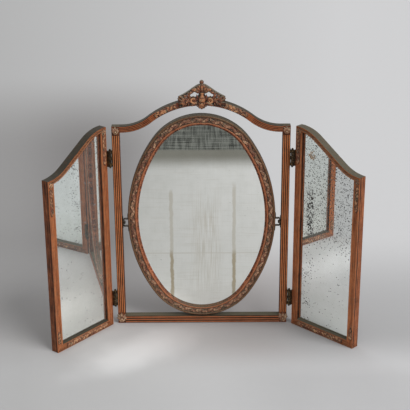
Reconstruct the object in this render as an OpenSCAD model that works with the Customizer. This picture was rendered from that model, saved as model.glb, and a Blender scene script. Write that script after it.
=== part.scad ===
/* [Centre frame] */
// Width of the centre frame over its stiles
frame_w = 400; // [360:1:440]
// Height of the centre frame at its stiles
frame_h = 487; // [465:1:510]
// Depth of every frame member, front to back
frame_d = 20; // [18:0.5:24]
// Face width of the reeded stiles
stile_w = 17.5; // [15:0.5:20]
// Height of the bottom rail
foot_rail_h = 18.5; // [15:0.5:21]
// Face height of the serpentine top rail
arch_rail_h = 14; // [12:0.5:16]
// Rise of the top rail from its ends to its crown
arch_rise = 61.5; // [55:0.5:67]
// Radius of the two hollow curves under the top rail
cove_r = 110; // [90:1:125]
// Straight length at each end of the top rail
arch_flat = 4.5; // [2:0.5:8]
// Height of the plain block at the foot of a stile
foot_block_h = 28; // [22:1:34]
// Height of the plain block at the head of a stile
head_block_h = 21; // [18:1:26]

/* [Reeding] */
// Reeds on a stile
stile_reeds = 4; // [3:1:5]
// Reeds on the bottom rail
foot_reeds = 3; // [2:1:4]
// Reeds on the top rail
arch_reeds = 4; // [3:1:5]
// Flat margin on each side of the reeds
reed_margin = 0.25; // [0.2:0.05:0.5]
// How far the plain blocks and beds lie behind the reeds
bed_sink = 1.6; // [1:0.1:2]

/* [Tenon joints] */
// Length of the rail tenons
tenon_l = 11; // [8:0.5:13]
// Thickness of the rail tenons
tenon_t = 6; // [4:0.5:8]
// Shoulder above and below each tenon
tenon_shoulder = 2.5; // [2:0.5:3.5]
// Gap round each tenon in its mortise
tenon_gap = 0.1; // [0.05:0.05:0.3]

/* [Carving] */
// Half width of the crest between the tips of its side leaves
crest_half_w = 56; // [52:0.5:60]
// Height of the crest above the top rail
crest_h = 43.5; // [39:0.5:49]
// Drop of the pendant below the top rail
pendant_drop = 9; // [7:0.5:11]
// Thickness of the openwork board
crest_t = 15; // [12:0.5:17]
// Relief of the crest in front of the top rail
crest_relief = 4.5; // [3.5:0.1:6]
// Relief of the leaf carving on the frames
leaf_relief = 2.6; // [1.8:0.1:3.5]
// Gap between a carving and the curved wood that it is glued to
glue_gap = 0.3; // [0.2:0.05:0.4]
// Distance of the tips of the leaf sprays from the hollow curves of the top rail
spray_margin = 10; // [2:0.5:20]
// Pitch of the leaf pairs of a spray
spray_pitch = 7.8; // [6:0.1:10]
// Length of the leaf run below the peak of a wing
peak_run_l = 70; // [50:1:90]
// Length of the leaf run below the outer corner of a wing
outer_run_l = 63; // [50:1:90]
// Length of the leaf run above the outer foot of a wing
foot_run_l = 31; // [22:1:50]
// Length of the leaf run along the bottom rail of a wing
rail_run_l = 109; // [80:1:120]
// Distance of the upright leaf runs from the corners of a wing
run_start = 20; // [16:1:32]
// Distance of the bottom leaf run from the outer corner of a wing
rail_run_start = 42; // [28:1:50]
// Pitch of the leaf pairs in a run
leaf_pitch = 14; // [11:0.5:18]

/* [Oval mirror] */
// Gap between the oval frame and the stiles
side_gap = 13; // [12.5:0.5:17]
// Gap between the oval frame and the bottom rail
foot_gap = 2; // [1.5:0.5:6]
// Gap between the oval frame and the crown of the top rail
crown_gap = 22; // [19:0.5:29]
// Radius of the two end curves of the oval
oval_end_r = 134; // [124:1:140]
// Width of the oval moulding
oval_band_w = 24; // [22:0.5:28]
// Depth of the oval moulding
oval_d = 22; // [20:0.5:24]
// Repeats of the carved leaf along each end curve
end_leaves = 11; // [8:1:16]
// Repeats of the carved leaf along each side curve
side_leaves = 20; // [14:1:28]

/* [Mirror glass] */
// Thickness of the mirror plates
glass_t = 3; // [2:0.5:4]
// Thickness of the backing boards
board_t = 3; // [2:0.5:4]
// Width of the rebate that holds glass and board
rebate_w = 5; // [4:0.5:7]
// Depth of the glass behind the front of the mouldings
glass_sink = 8; // [6:0.5:9]
// Gap round the glass in its rebate
glass_gap = 0.5; // [0.3:0.1:1]
// Radius of the brads that hold the backing boards
brad_r = 0.7; // [0.5:0.1:1]
// Length of the brads
brad_l = 8; // [6:0.5:10]

/* [Wings] */
// Width of each wing
wing_w = 182; // [172:1:188]
// Height of the peak of a wing above the stiles of the centre frame
wing_rise = 1.5; // [-4:0.5:6]
// Drop of the wing's top edge from its peak to its outer corner
wing_drop = 79; // [73:1:85]
// Distance of the peak from the hinge side
wing_peak = 4; // [2:1:12]
// Radius of the rounded peak
wing_peak_r = 100; // [90:1:110]
// Steepest slope of the top edge, in degrees
wing_slope = 33.5; // [32:0.5:36]
// Face width of the wing's stiles and bottom rail
wing_rail_w = 20; // [18:0.5:24]
// Face width of the wing's top rail
wing_cap_w = 13.5; // [12.5:0.5:16]
// Turn of the left wing forward from the centre frame, as it stands
left_turn = 51.4; // [0:0.1:110]
// Turn of the right wing forward from the centre frame, as it stands
right_turn = 45.4; // [0:0.1:110]

/* [Hinges] */
// Gap between the centre frame and a wing
wing_gap = 9; // [8.5:0.1:11]
// Distance of the hinge pins in front of the frames
pin_front = 4.7; // [4:0.1:6]
// Height of a hinge
hinge_h = 38; // [32:1:46]
// Depth of a hinge leaf on the edge of the wood
hinge_leaf_d = 19; // [15:0.5:22]
// Thickness of a hinge leaf
hinge_leaf_t = 1.6; // [1.2:0.1:2]
// Depth of the recess that a hinge leaf lies in
hinge_sink = 0.8; // [0.5:0.1:1.2]
// Radius of the knuckles
knuckle_r = 3.3; // [2.9:0.1:3.4]
// Knuckles on a hinge
knuckles = 5; // [3:2:7]
// Radius of the hinge pin
pin_r = 1.5; // [1.2:0.1:1.8]
// Gap between the pin and its bores, all round
pin_gap = 0.05; // [0.03:0.01:0.08]
// Gap between one knuckle and the next
knuckle_gap = 0.3; // [0.2:0.05:0.6]
// Height of a finial at each end of a pin
finial_h = 4; // [4:0.5:7]
// Distance of the underside of the upper hinges below the top of the frame
upper_hinge_drop = 91.5; // [75:0.5:120]
// Height of the underside of the lower hinges
lower_hinge_z = 50; // [35:0.5:90]

/* [Pivots] */
// Distance of the pivots below the middle of the oval mirror
pivot_drop = 11.5; // [0:0.5:20]
// Radius of the pivot stud
stud_r = 2.5; // [2:0.1:3]
// Gap between the stud and the bore of its strap, all round
stud_gap = 0.05; // [0.03:0.01:0.08]
// Radius of the head of the pivot stud
stud_head_r = 4.6; // [4:0.1:5.2]
// Thickness of the head of the pivot stud
stud_head_t = 3; // [2:0.1:3.5]
// Side play between the strap, the plate and the head
side_play = 0.4; // [0.3:0.1:0.8]
// Thickness of the pivot strap
strap_t = 1.4; // [1:0.1:2]
// Width of the pivot strap
strap_w = 9; // [7:0.5:11]
// Half height of the arch of the strap
arch_half_h = 9.5; // [8:0.5:11]
// Half height of the strap over its feet
strap_half_h = 21; // [18:0.5:24]
// Thickness of the pivot plate on the stile
plate_t = 1.5; // [1:0.1:2]
// Height of the pivot plate
plate_h = 29; // [26:1:34]

/* [Screws] */
// Radius of a screw
screw_r = 1.1; // [0.9:0.1:1.3]
// Radius of a countersunk screw head
screw_head_r = 2.1; // [1.8:0.1:2.4]
// Length of a screw
screw_l = 8; // [6:0.5:9]

/* [Hidden] */

$fn = 64;
wood = [0.42, 0.25, 0.15];
gilt = [0.55, 0.36, 0.20];
brass = [0.33, 0.27, 0.18];
silver = [0.75, 0.78, 0.77];
board = [0.30, 0.22, 0.15];

// Overlap that lets one cut run through another surface
over = 1;
// Neighbouring arcs overlap by lap, and one of them is thinner by hair so that their faces stay distinct
lap = 0.3;
hair = 0.02;
half_d = frame_d / 2;
stile_x = frame_w / 2 - stile_w;

// The top rail: a hollow curve at each end, tangent to one crown curve
arch_z = frame_h - arch_rail_h;
arch_half = stile_x - arch_flat;
arch_turn = 2 * atan(arch_rise / arch_half);
crown_r = arch_half / sin(arch_turn) - cove_r;
crown_z = arch_z + arch_rise - crown_r;
crown_top = arch_z + arch_rise + arch_rail_h;
spray_reach = (crown_r + arch_rail_h / 2) * sin(arch_turn) - spray_margin;

// The oval: four arcs, with end and side curves tangent where they meet
oval_a = stile_x - side_gap;
oval_low = foot_rail_h + foot_gap;
oval_b = (arch_z + arch_rise - crown_gap - oval_low) / 2;
oval_z = oval_low + oval_b;
end_c = oval_b - oval_end_r;
side_r = (oval_a * oval_a + end_c * end_c - oval_end_r * oval_end_r) / (2 * (oval_a - oval_end_r));
side_c = side_r - oval_a;
side_turn = atan(end_c / side_c);
oval_half_d = oval_d / 2;
pivot_z = oval_z - pivot_drop;

// The oval moulding, from its sight edge outward
sight_lip = 1.4;
inner_bead_r = 2;
outer_bead_r = 2.4;
bead_rise = 0.2;
band_bed = oval_half_d - 3;
slope_w = inner_bead_r + 1.8;
inner_bead_u = slope_w + inner_bead_r - 0.2;
outer_bead_u = oval_band_w - outer_bead_r - reed_margin;
bed_in = inner_bead_u + inner_bead_r + glue_gap;
bed_out = outer_bead_u - outer_bead_r - glue_gap;

// The glass lies on the back of the sight edge
oval_glass_f = oval_half_d - glass_sink;
wing_glass_f = half_d - glass_sink;

// The hinge pins stand in front of the gap between frame and wing
pin_x = frame_w / 2 + wing_gap / 2;
pin_y = -half_d - pin_front;
upper_hinge_z = frame_h - upper_hinge_drop;
knuckle_h = hinge_h / knuckles;
leaf_in = wing_gap / 2 - (hinge_leaf_t - hinge_sink);
recess_gap = 0.1;

// The wing's top edge: rounded peak, straight slope and a hollow that ends level at the outer corner
wing_h = frame_h + wing_rise;
slope_start_s = wing_peak + wing_peak_r * sin(wing_slope);
slope_start_z = wing_h - wing_peak_r * (1 - cos(wing_slope));
hollow_r = (slope_start_z - (wing_h - wing_drop) - tan(wing_slope) * (wing_w - slope_start_s))
    / (1 - cos(wing_slope) - tan(wing_slope) * sin(wing_slope));
slope_end_s = wing_w - hollow_r * sin(wing_slope);
slope_l = (slope_end_s - slope_start_s) / cos(wing_slope);
peak_z = wing_h - wing_peak_r;
hollow_z = wing_h - wing_drop + hollow_r;
wing_bead_r = 2.3;
wing_bead_u = 5.4;
wing_bed_f = half_d - bed_sink;
wing_lip = 1.2;
wing_arris_w = 1.6;
wing_arris_drop = 0.5;

// The pivot, measured out from the middle of the oval
plate_x = stile_x - plate_t;
strap_x = plate_x - side_play;
stud_head_x = strap_x - strap_t - side_play;
strap_bend = 2.6;

// Height of the top edge of a wing at the distance s from its hinge side, for an edge set in by the inset
function wing_edge(s, inset) =
    let (
        peak_end = wing_peak + (wing_peak_r - inset) * sin(wing_slope),
        slope_end = wing_w - (hollow_r + inset) * sin(wing_slope),
        peak_end_z = peak_z + (wing_peak_r - inset) * cos(wing_slope)
    )
    s <= peak_end ? peak_z + sqrt(pow(wing_peak_r - inset, 2) - pow(s - wing_peak, 2))
    : s <= slope_end ? peak_end_z - (s - peak_end) * tan(wing_slope)
    : hollow_z - sqrt(pow(hollow_r + inset, 2) - pow(wing_w - s, 2));

// Outline of the opening of a wing, set in by the inset on every side
function wing_outline(inset_side, inset_cap, steps) = [
    [inset_side, inset_side],
    [wing_w - inset_side, inset_side],
    for (i = [0 : steps])
        let (s = wing_w - inset_side - (wing_w - 2 * inset_side) * i / steps)
        [s, wing_edge(s, inset_cap)]
];

// Points of the oval at the inset from its outer edge, counted round from the middle of the right side
function arc_points(cx, cz, r, from, turn, steps) = [
    for (i = [0 : steps - 1]) [cx + r * cos(from + turn * i / steps), cz + r * sin(from + turn * i / steps)]
];
function oval_points(inset, side_steps, end_steps) = concat(
    arc_points(-side_c, 0, side_r - inset, -side_turn, 2 * side_turn, side_steps),
    arc_points(0, end_c, oval_end_r - inset, side_turn, 180 - 2 * side_turn, end_steps),
    arc_points(side_c, 0, side_r - inset, 180 - side_turn, 2 * side_turn, side_steps),
    arc_points(0, -end_c, oval_end_r - inset, 180 + side_turn, 180 - 2 * side_turn, end_steps)
);

// Profiles drawn as (height, forward) become a bar along +X
module along_x(l) {
    rotate(a = 180, v = [1, 0, 1])
        for (i = [0 : $children - 1]) linear_extrude(l) children(i);
}

// Profiles drawn as (x, forward) become an upright bar from z = 0
module upright(l) {
    translate([0, 0, l]) rotate([180, 0, 0])
        for (i = [0 : $children - 1]) linear_extrude(l) children(i);
}

// Profiles drawn as (distance from the centre, forward) become an arc in the plane of the frame
module arc_bar(x, z, from, turn, shift = 0) {
    translate([x, 0, z]) rotate([90, 0, 0]) rotate([0, 0, from])
        for (i = [0 : $children - 1])
            rotate_extrude(angle = turn) translate([shift, 0]) children(i);
}

// A plate drawn in the plane of the frame, from the back level to the front level
module face_plate(back, front) {
    translate([0, -back, 0]) rotate([90, 0, 0]) linear_extrude(front - back) children();
}

// Children drawn in the plane of the frame with their height pointing forward
module on_face(front) {
    translate([0, -front, 0]) rotate([90, 0, 0]) children();
}

module mirrored(side) {
    mirror([side < 0 ? 1 : 0, 0, 0]) children();
}

// The wing drawn flat beside the frame, s = 0 at its hinge side, turned on its hinge
module wing_place(side) {
    mirrored(side)
        translate([pin_x, pin_y, 0])
            rotate([0, 0, side < 0 ? -left_turn : -right_turn])
                translate([wing_gap / 2, -pin_y, 0]) children();
}

// Half-round reeds side by side over a plain bar, each a little wider than its pitch
module reeded(w, count, inset = 0) {
    pitch = (w - 2 * reed_margin) / count;
    reed_r = pitch * 0.518;
    plain_bar(w, half_d - reed_r * 0.86, inset);
    for (i = [0 : count - 1])
        translate([reed_margin + (i + 0.5) * pitch, half_d - reed_r]) circle(reed_r - inset);
}

module plain_bar(w, front, inset = 0) {
    translate([inset, inset - half_d]) square([w - 2 * inset, half_d + front - 2 * inset]);
}

// A carved leaf lobe: pointed outline, raised keel, flat back, root at the origin and tip along +X
module lobe(l, w, h) {
    keel = 0.5;
    hull() {
        linear_extrude(keel)
            polygon([
                [0, 0], [l * 0.3, w / 2], [l * 0.7, w * 0.4],
                [l, 0], [l * 0.7, -w * 0.4], [l * 0.3, -w / 2]
            ]);
        translate([l * 0.2, -keel / 2, 0]) cube([l * 0.5, keel, h]);
    }
}

// Lobes spread evenly over an angle round +Y, from the middle length to the side length
module lobe_fan(count, spread, middle_l, side_l, w, h) {
    for (i = [0 : count - 1]) {
        turn = spread * (i / (count - 1) - 0.5);
        l = middle_l + (side_l - middle_l) * abs(turn) * 2 / spread;
        rotate([0, 0, 90 + turn]) lobe(l, w, h * (1 - 0.03 * i));
    }
}

// A run of lobes along +X, in pairs that lean out from a stem and stay within the width
module leaf_run(l, w, h) {
    pairs = round(l / leaf_pitch);
    step = l / (pairs + 1);
    lobe_l = step * 1.6;
    lean = asin(w * 0.3 / lobe_l);
    stem_w = 1.2;
    translate([0, -stem_w / 2, 0]) cube([l - step, stem_w, h * 0.5]);
    for (i = [0 : pairs - 1])
        for (side = [-1, 1])
            translate([i * step, side * w * 0.05, 0]) rotate([0, 0, side * lean])
                lobe(lobe_l, w * 0.5, h * (i % 2 == 0 ? 1 : 0.82) - side * 0.04);
    translate([(pairs - 0.4) * step, 0, 0]) lobe(step * 1.4, w * 0.5, h);
}

// Stiles
module stile(side) {
    block_f = half_d - bed_sink;
    color(wood) mirrored(side)
        difference() {
            translate([stile_x, 0, 0]) {
                upright(foot_block_h) plain_bar(stile_w, block_f);
                translate([0, 0, foot_block_h])
                    upright(frame_h - foot_block_h - head_block_h) reeded(stile_w, stile_reeds);
                translate([0, 0, frame_h - head_block_h]) upright(head_block_h) plain_bar(stile_w, block_f);
            }
            mortise(tenon_shoulder, foot_rail_h - 2 * tenon_shoulder);
            mortise(arch_z + tenon_shoulder, arch_rail_h - 2 * tenon_shoulder);
            for (z = [upper_hinge_z, lower_hinge_z]) hinge_recess(z);
        }
}

module mortise(z, h) {
    translate([stile_x - over, -tenon_t / 2 - tenon_gap, z - tenon_gap])
        cube([tenon_l + tenon_gap + over, tenon_t + 2 * tenon_gap, h + 2 * tenon_gap]);
}

// The shallow recess for a hinge leaf runs out through the front of the wood
module hinge_recess(z) {
    translate([frame_w / 2 - hinge_sink, -half_d - over, z - recess_gap])
        cube([hinge_sink + over, hinge_leaf_d - pin_front + over + recess_gap, hinge_h + 2 * recess_gap]);
}

// Rails of the centre frame
module bottom_rail() {
    color(wood) {
        translate([-stile_x, 0, 0]) along_x(2 * stile_x) reeded(foot_rail_h, foot_reeds);
        tenons(tenon_shoulder, foot_rail_h - 2 * tenon_shoulder);
    }
}

module tenons(z, h) {
    for (side = [-1, 1])
        mirrored(side) translate([stile_x - over, -tenon_t / 2, z]) cube([tenon_l + over, tenon_t, h]);
}

module top_rail() {
    color(wood) {
        lap_turn = lap / crown_r * 180 / PI;
        arc_bar(0, crown_z, 90 - arch_turn - lap_turn, 2 * (arch_turn + lap_turn), crown_r)
            plain_bar(arch_rail_h, half_d - bed_sink, hair);
        for (side = [-1, 1])
            mirrored(side) {
                arc_bar(arch_half, arch_z + cove_r, -90 - arch_turn, arch_turn, cove_r - arch_rail_h)
                    reeded(arch_rail_h, arch_reeds);
                translate([arch_half - lap, 0, arch_z])
                    along_x(arch_flat + lap) reeded(arch_rail_h, arch_reeds, hair);
            }
        tenons(arch_z + tenon_shoulder, arch_rail_h - 2 * tenon_shoulder);
    }
}

// Carvings of the centre frame
module upper_corner_leaf(side) {
    corner_leaf(side, frame_h - head_block_h, head_block_h, false);
}

module lower_corner_leaf(side) {
    corner_leaf(side, 0, foot_block_h, true);
}

module corner_leaf(side, z, h, up) {
    mid = stile_x + stile_w / 2;
    leaf_w = stile_w * 0.42;
    side_l = stile_w * 0.44;
    color(gilt) mirrored(side)
        on_face(half_d - bed_sink)
            translate([mid, z + h / 2]) mirror([0, up ? 0 : 1, 0]) {
                translate([0, -h * 0.12])
                    lobe_fan(5, 150, h * 0.58, side_l, leaf_w, leaf_relief + bed_sink);
                translate([0, h * 0.06]) rotate([0, 0, 180])
                    lobe_fan(3, 110, h * 0.5, side_l, leaf_w, leaf_relief + bed_sink * 0.5);
                cylinder(r = stile_w * 0.13, h = leaf_relief + bed_sink + 0.6, $fn = 8);
            }
}

// The sprays follow the crown curve from the crest outward, pairs of lobes on a flat stem
module leaf_spray(side) {
    mid_r = crown_r + arch_rail_h / 2;
    first = asin((crest_half_w + 1) / mid_r);
    last = asin(spray_reach / mid_r);
    length = mid_r * (last - first) * PI / 180;
    pairs = round(length / spray_pitch) - 1;
    step = (last - first) / (pairs + 1);
    stem_w = arch_rail_h * 0.3;
    color(gilt) mirrored(side)
        on_face(half_d - bed_sink)
            translate([0, crown_z]) {
                linear_extrude(bed_sink * 0.7)
                    polygon(concat(
                        arc_points(0, 0, mid_r - stem_w / 2, 90 - first, first - last, 10),
                        arc_points(0, 0, mid_r + stem_w / 2, 90 - last, last - first, 10)
                    ));
                for (i = [0 : pairs]) {
                    grow = 1 - 0.36 * i / pairs;
                    rotate([0, 0, 90 - first - i * step]) translate([mid_r, 0]) rotate([0, 0, -90])
                        for (turn = i == pairs ? [0] : [-26, 26])
                            translate([0, turn * 0.01]) rotate([0, 0, turn])
                                lobe(
                                    spray_pitch * 1.5 * grow, arch_rail_h * 0.46,
                                    leaf_relief + bed_sink * grow
                                );
                }
            }
}

// The crest is pierced openwork, drawn in the plane of the frame from the top of the crown
module crest_carving() {
    color(gilt)
        difference() {
            translate([0, 0, crown_top]) on_face(0) {
                for (side = [-1, 1]) mirrored(side) crest_side();
                crest_middle();
            }
            crest_seat();
        }
}

// The space that the top rail takes out of the crest
module crest_seat() {
    on_face(-half_d - over)
        translate([0, crown_z]) difference() {
            cylinder(r = crown_r + arch_rail_h + glue_gap, h = frame_d - bed_sink + over + 0.05, $fn = 180);
            translate([0, 0, -over])
                cylinder(r = crown_r - glue_gap, h = frame_d + 4 * over, $fn = 180);
        }
}

// Height of the upper side of the top rail at x, below its crown
function crown_fall(x) = sqrt(pow(crown_r + arch_rail_h, 2) - x * x) - crown_r - arch_rail_h;

// A point of the crest, at shares of its half width and of its height
function crest_at(u, v) = [u * crest_half_w, v * crest_h];

// Points at both faces of the board, and the front of the rail that it stands on
crest_board_b = -crest_t / 2;
crest_face_f = half_d - bed_sink + 0.05;
crest_skin_t = 1.2;

module crest_side() {
    tip = [crest_half_w * 0.95, crown_fall(crest_half_w) + crest_h * 0.23];
    rake = [crest_at(0.07, 0.66), crest_at(0.25, 0.62), crest_at(0.4, 0.5), crest_at(0.56, 0.33), tip];
    foot = crest_half_w * 0.93;
    // raked bar from the middle down to the tip of the side leaf
    for (i = [0 : len(rake) - 2])
        hull()
            for (p = [rake[i], rake[i + 1]])
                translate([p[0], p[1], crest_board_b]) cylinder(r = crest_h * 0.054, h = crest_t, $fn = 8);
    // pierced board between the bar and the rail
    translate([0, 0, crest_board_b]) linear_extrude(crest_face_f + crest_skin_t / 2 - crest_board_b)
        difference() {
            polygon([[0, -1], [foot, crown_fall(foot) - 1], tip, rake[3], rake[2], crest_at(0, 0.6)]);
            polygon([crest_at(0.15, 0.24), crest_at(0.47, 0.24), crest_at(0.38, 0.4), crest_at(0.16, 0.44)]);
            polygon([crest_at(0.56, 0.16), crest_at(0.67, 0.1), crest_at(0.64, 0.2), crest_at(0.58, 0.25)]);
        }
    // carved skin over the face of the rail
    translate([0, 0, crest_face_f]) linear_extrude(crest_skin_t)
        polygon(concat(
            [for (x = [0 : crest_half_w / 9 : crest_half_w]) [x, crown_fall(x) + 2]],
            [for (x = [crest_half_w : -crest_half_w / 9 : 0]) [x, crown_fall(x) - arch_rail_h + 1.5]]
        ));
    translate([crest_half_w * 0.35, 0.5, crest_face_f]) crest_scroll(arch_rail_h * 0.58);
    crest_side_leaf();
    // curled shoulder leaf
    translate([crest_half_w * 0.22, crest_h * 0.6, crest_t / 2 - 3.2])
        rotate([0, 0, -18]) lobe(crest_half_w * 0.25, crest_h * 0.19, crest_relief);
    translate([crest_half_w * 0.36, crest_h * 0.52, crest_t / 2 - 1]) sphere(crest_h * 0.07, $fn = 8);
}

// Rolled scroll round an eye
module crest_scroll(r) {
    roll_r = r / 3;
    translate([0, 0, roll_r / 4])
        rotate([0, 0, 30])
            rotate_extrude(angle = 310, $fn = 16) translate([r - roll_r, 0]) circle(roll_r, $fn = 6);
    sphere(r * 0.29, $fn = 8);
}

// Side leaf that sweeps down and out to the tip, with one leaf that climbs to the bar
module crest_side_leaf() {
    long_l = crest_half_w * 0.4;
    leaf_w = crest_half_w * 0.136;
    root = crest_half_w * 0.6;
    translate([root, crown_fall(root) - arch_rail_h * 0.3, crest_face_f])
        for (i = [0 : 4])
            rotate([0, 0, 28 * i - 64])
                lobe(long_l * (i == 1 || i == 2 ? 1 : 0.7), leaf_w, crest_relief * (1 - 0.04 * i));
    translate([root - leaf_w * 0.3, arch_rail_h * 0.3, crest_face_f])
        rotate([0, 0, 62]) lobe(long_l * 0.6, leaf_w * 0.93, crest_relief - 0.5);
}

module crest_middle() {
    // palmette under the finial
    translate([0, crest_h * 0.42, crest_t / 2 - 3.2])
        lobe_fan(7, 170, crest_h * 0.46, crest_h * 0.3, crest_half_w * 0.145, crest_relief + 1.6);
    // finial knob on its neck
    knob_r = crest_h * 0.088;
    translate([0, crest_h - knob_r, 0]) {
        sphere(knob_r, $fn = 10);
        translate([0, -2 * knob_r, 0])
            rotate([-90, 0, 0]) cylinder(r1 = knob_r * 1.2, r2 = knob_r * 0.6, h = knob_r * 1.7, $fn = 10);
    }
    crest_vase(crest_h * 0.58);
    crest_pendant(arch_rail_h * 0.33);
}

// Vase with two swelling shoulders and a waist, half sunk in the board
module crest_vase(h) {
    low = arch_rail_h * 0.7;
    translate([0, -low, crest_face_f - 1]) intersection() {
        rotate([-90, 0, 0]) rotate_extrude($fn = 14)
            polygon(h * [
                [0, 0], [0.11, 0], [0.23, 0.18], [0.25, 0.32], [0.16, 0.5], [0.08, 0.68], [0.13, 0.9], [0, 1]
            ]);
        translate([-h / 2, -over, 0]) cube([h, h + 2 * over, h * 0.23]);
    }
}

// Pendant of five rounded lobes below the rail
module crest_pendant(lobe_r) {
    reach = lobe_r * 1.44;
    stretch = 1.35;
    translate([0, reach + lobe_r * stretch - arch_rail_h - pendant_drop, crest_face_f - 1.8])
        for (i = [0 : 4])
            rotate([0, 0, 37 * (i - 2)]) translate([0, -reach, 0.07 * i])
                scale([1, stretch, 1]) sphere(lobe_r * (1 - 0.077 * abs(i - 2.1)), $fn = 8);
}

// Oval mirror
module oval_body(inset) {
    polygon([
        [inset, oval_glass_f + inset], [inset, oval_glass_f + sight_lip - inset],
        [slope_w, band_bed - 0.6 - inset], [slope_w + 1, band_bed - inset],
        [oval_band_w - inset, band_bed - inset], [oval_band_w - inset, inset - oval_half_d],
        [rebate_w + inset, inset - oval_half_d], [rebate_w + inset, oval_glass_f + inset]
    ]);
}

module oval_bead(u, rise, r) {
    translate([u, band_bed + rise]) circle(r);
}

module oval_arc(x, z, from, turn, r, inset) {
    arc_bar(x, z, from, turn, r - oval_band_w) {
        oval_body(inset);
        oval_bead(inner_bead_u, -bead_rise, inner_bead_r - inset);
        oval_bead(outer_bead_u, bead_rise, outer_bead_r - inset);
    }
}

module oval_frame() {
    lap_turn = lap / oval_end_r * 180 / PI;
    color(wood) translate([0, 0, oval_z])
        for (half = [0, 180])
            rotate([0, half, 0]) {
                oval_arc(-side_c, 0, -side_turn, 2 * side_turn, side_r, 0);
                oval_arc(0, end_c, side_turn - lap_turn, 180 - 2 * (side_turn - lap_turn), oval_end_r, hair);
            }
}

// Relief of the running leaf: along is counted in leaves, across runs from the inner bead to the outer
function band_relief(along, across) =
    let (
        lean = floor(along) % 2 == 0 ? 1 : -1,
        phase = along - floor(along),
        vein = across * 2 - 1 - 0.5 * lean * sin(180 * phase)
    )
    (oval_half_d - band_bed - 0.2) * sin(180 * across)
        * (0.35 + 0.65 * exp(-3 * vein * vein)) * (0.45 + 0.55 * sin(180 * phase));

module oval_carved_band() {
    stations = 5;
    lanes = 4;
    width = bed_out - bed_in;
    rings = [
        for (k = [0 : lanes])
            oval_points(
                oval_band_w - bed_in - width * k / lanes, side_leaves * stations, end_leaves * stations
            )
    ];
    count = len(rings[0]);
    tops = [
        for (k = [0 : lanes])
            for (i = [0 : count - 1]) [rings[k][i][0], rings[k][i][1], band_relief(i / stations, k / lanes)]
    ];
    back = [
        for (k = [lanes, 0])
            for (i = [0 : count - 1]) [rings[k][i][0], rings[k][i][1], -glue_gap]
    ];
    loops = lanes + 3;
    faces = [
        for (i = [0 : count - 1], k = [0 : loops - 1])
            let (
                j = (i + 1) % count,
                a = k * count,
                b = (k + 1) % loops * count
            )
                each [[a + i, a + j, b + j], [a + i, b + j, b + i]]
    ];
    color(gilt) translate([0, 0, oval_z])
        on_face(band_bed + glue_gap) polyhedron(points = concat(tops, back), faces = faces);
}

module oval_plate(back, front) {
    translate([0, 0, oval_z])
        face_plate(back, front)
            polygon(oval_points(oval_band_w - rebate_w + glass_gap, 40, 32));
}

module oval_glass() {
    color(silver) oval_plate(oval_glass_f - glass_t, oval_glass_f);
}

module oval_backboard() {
    color(board) oval_plate(oval_glass_f - glass_t - board_t, oval_glass_f - glass_t);
}

// Brads lie on the back of the board and are driven into the rebate wall
module oval_brads() {
    f = oval_glass_f - glass_t - board_t - brad_r;
    reach = oval_band_w - rebate_w;
    color(brass) translate([0, 0, oval_z])
        for (half = [0, 180])
            rotate([0, half, 0]) {
                for (turn = [-24, -8, 8, 24])
                    translate([-side_c, 0, 0]) rotate([0, -turn, 0]) brad(side_r - reach, f);
                for (turn = [60, 90, 120])
                    translate([0, 0, end_c]) rotate([0, -turn, 0]) brad(oval_end_r - reach, f);
            }
}

// One brad along +X, half of it in the wood that starts at the wall
module brad(wall, f) {
    translate([wall - brad_l / 2, -f, 0]) rotate([0, 90, 0]) cylinder(r = brad_r, h = brad_l, $fn = 16);
}

// Pivots
module pivot_plate(side) {
    corner = 2;
    half_w = strap_w / 2;
    half_h = plate_h / 2;
    color(brass) mirrored(side)
        difference() {
            translate([plate_x, 0, pivot_z]) rotate([90, 0, 90]) linear_extrude(plate_t)
                polygon([
                    [-half_w, corner - half_h], [corner - half_w, -half_h], [half_w - corner, -half_h],
                    [half_w, corner - half_h], [half_w, half_h - corner], [half_w - corner, half_h],
                    [corner - half_w, half_h], [-half_w, half_h - corner]
                ]);
            translate([plate_x - over, 0, pivot_z]) rotate([0, 90, 0])
                cylinder(r = stud_r + stud_gap, h = plate_t + 2 * over);
            pivot_plate_screws(0.05);
        }
}

module pivot_plate_screws(gap) {
    for (up = [-1, 1])
        translate([plate_x, 0, pivot_z + up * (plate_h / 2 - screw_head_r - 1.2)])
            rotate([0, 90, 0]) screw(gap);
}

// A countersunk screw, its head flush at z = 0 and its shank along +Z
module screw(gap) {
    cone = screw_head_r - screw_r;
    translate([0, 0, -gap]) cylinder(r1 = screw_head_r + gap, r2 = screw_r + gap, h = cone);
    translate([0, 0, cone - gap]) cylinder(r = screw_r + gap, h = screw_l - cone);
}

module pivot_stud(side) {
    color(brass) mirrored(side)
        translate([0, 0, pivot_z]) rotate([0, 90, 0]) {
            translate([0, 0, stud_head_x]) cylinder(r = stud_r, h = stile_x - stud_head_x);
            translate([0, 0, stud_head_x - stud_head_t])
                cylinder(r1 = stud_head_r * 0.7, r2 = stud_head_r, h = stud_head_t);
        }
}

// Distance from the middle of the frame of a curve round the oval's side, at the height z from the pivot
function side_at(r, z) = sqrt(r * r - pow(z + pivot_z - oval_z, 2)) - side_c;

// One face of the strap, from the tip of a foot to the end of its bend
function strap_face(foot_r, leg_z, bend_r, up) = concat(
    [
        for (i = [0 : 4])
            let (z = strap_half_h + (leg_z - strap_half_h) * i / 4) [side_at(foot_r, up * z), up * z]
    ],
    [
        for (a = [90 : -15 : 0])
            [strap_x - strap_bend + bend_r * cos(a), up * (arch_half_h - strap_bend + bend_r * sin(a))]
    ]
);
function reversed(list) = [for (i = [len(list) - 1 : -1 : 0]) list[i]];

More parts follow.
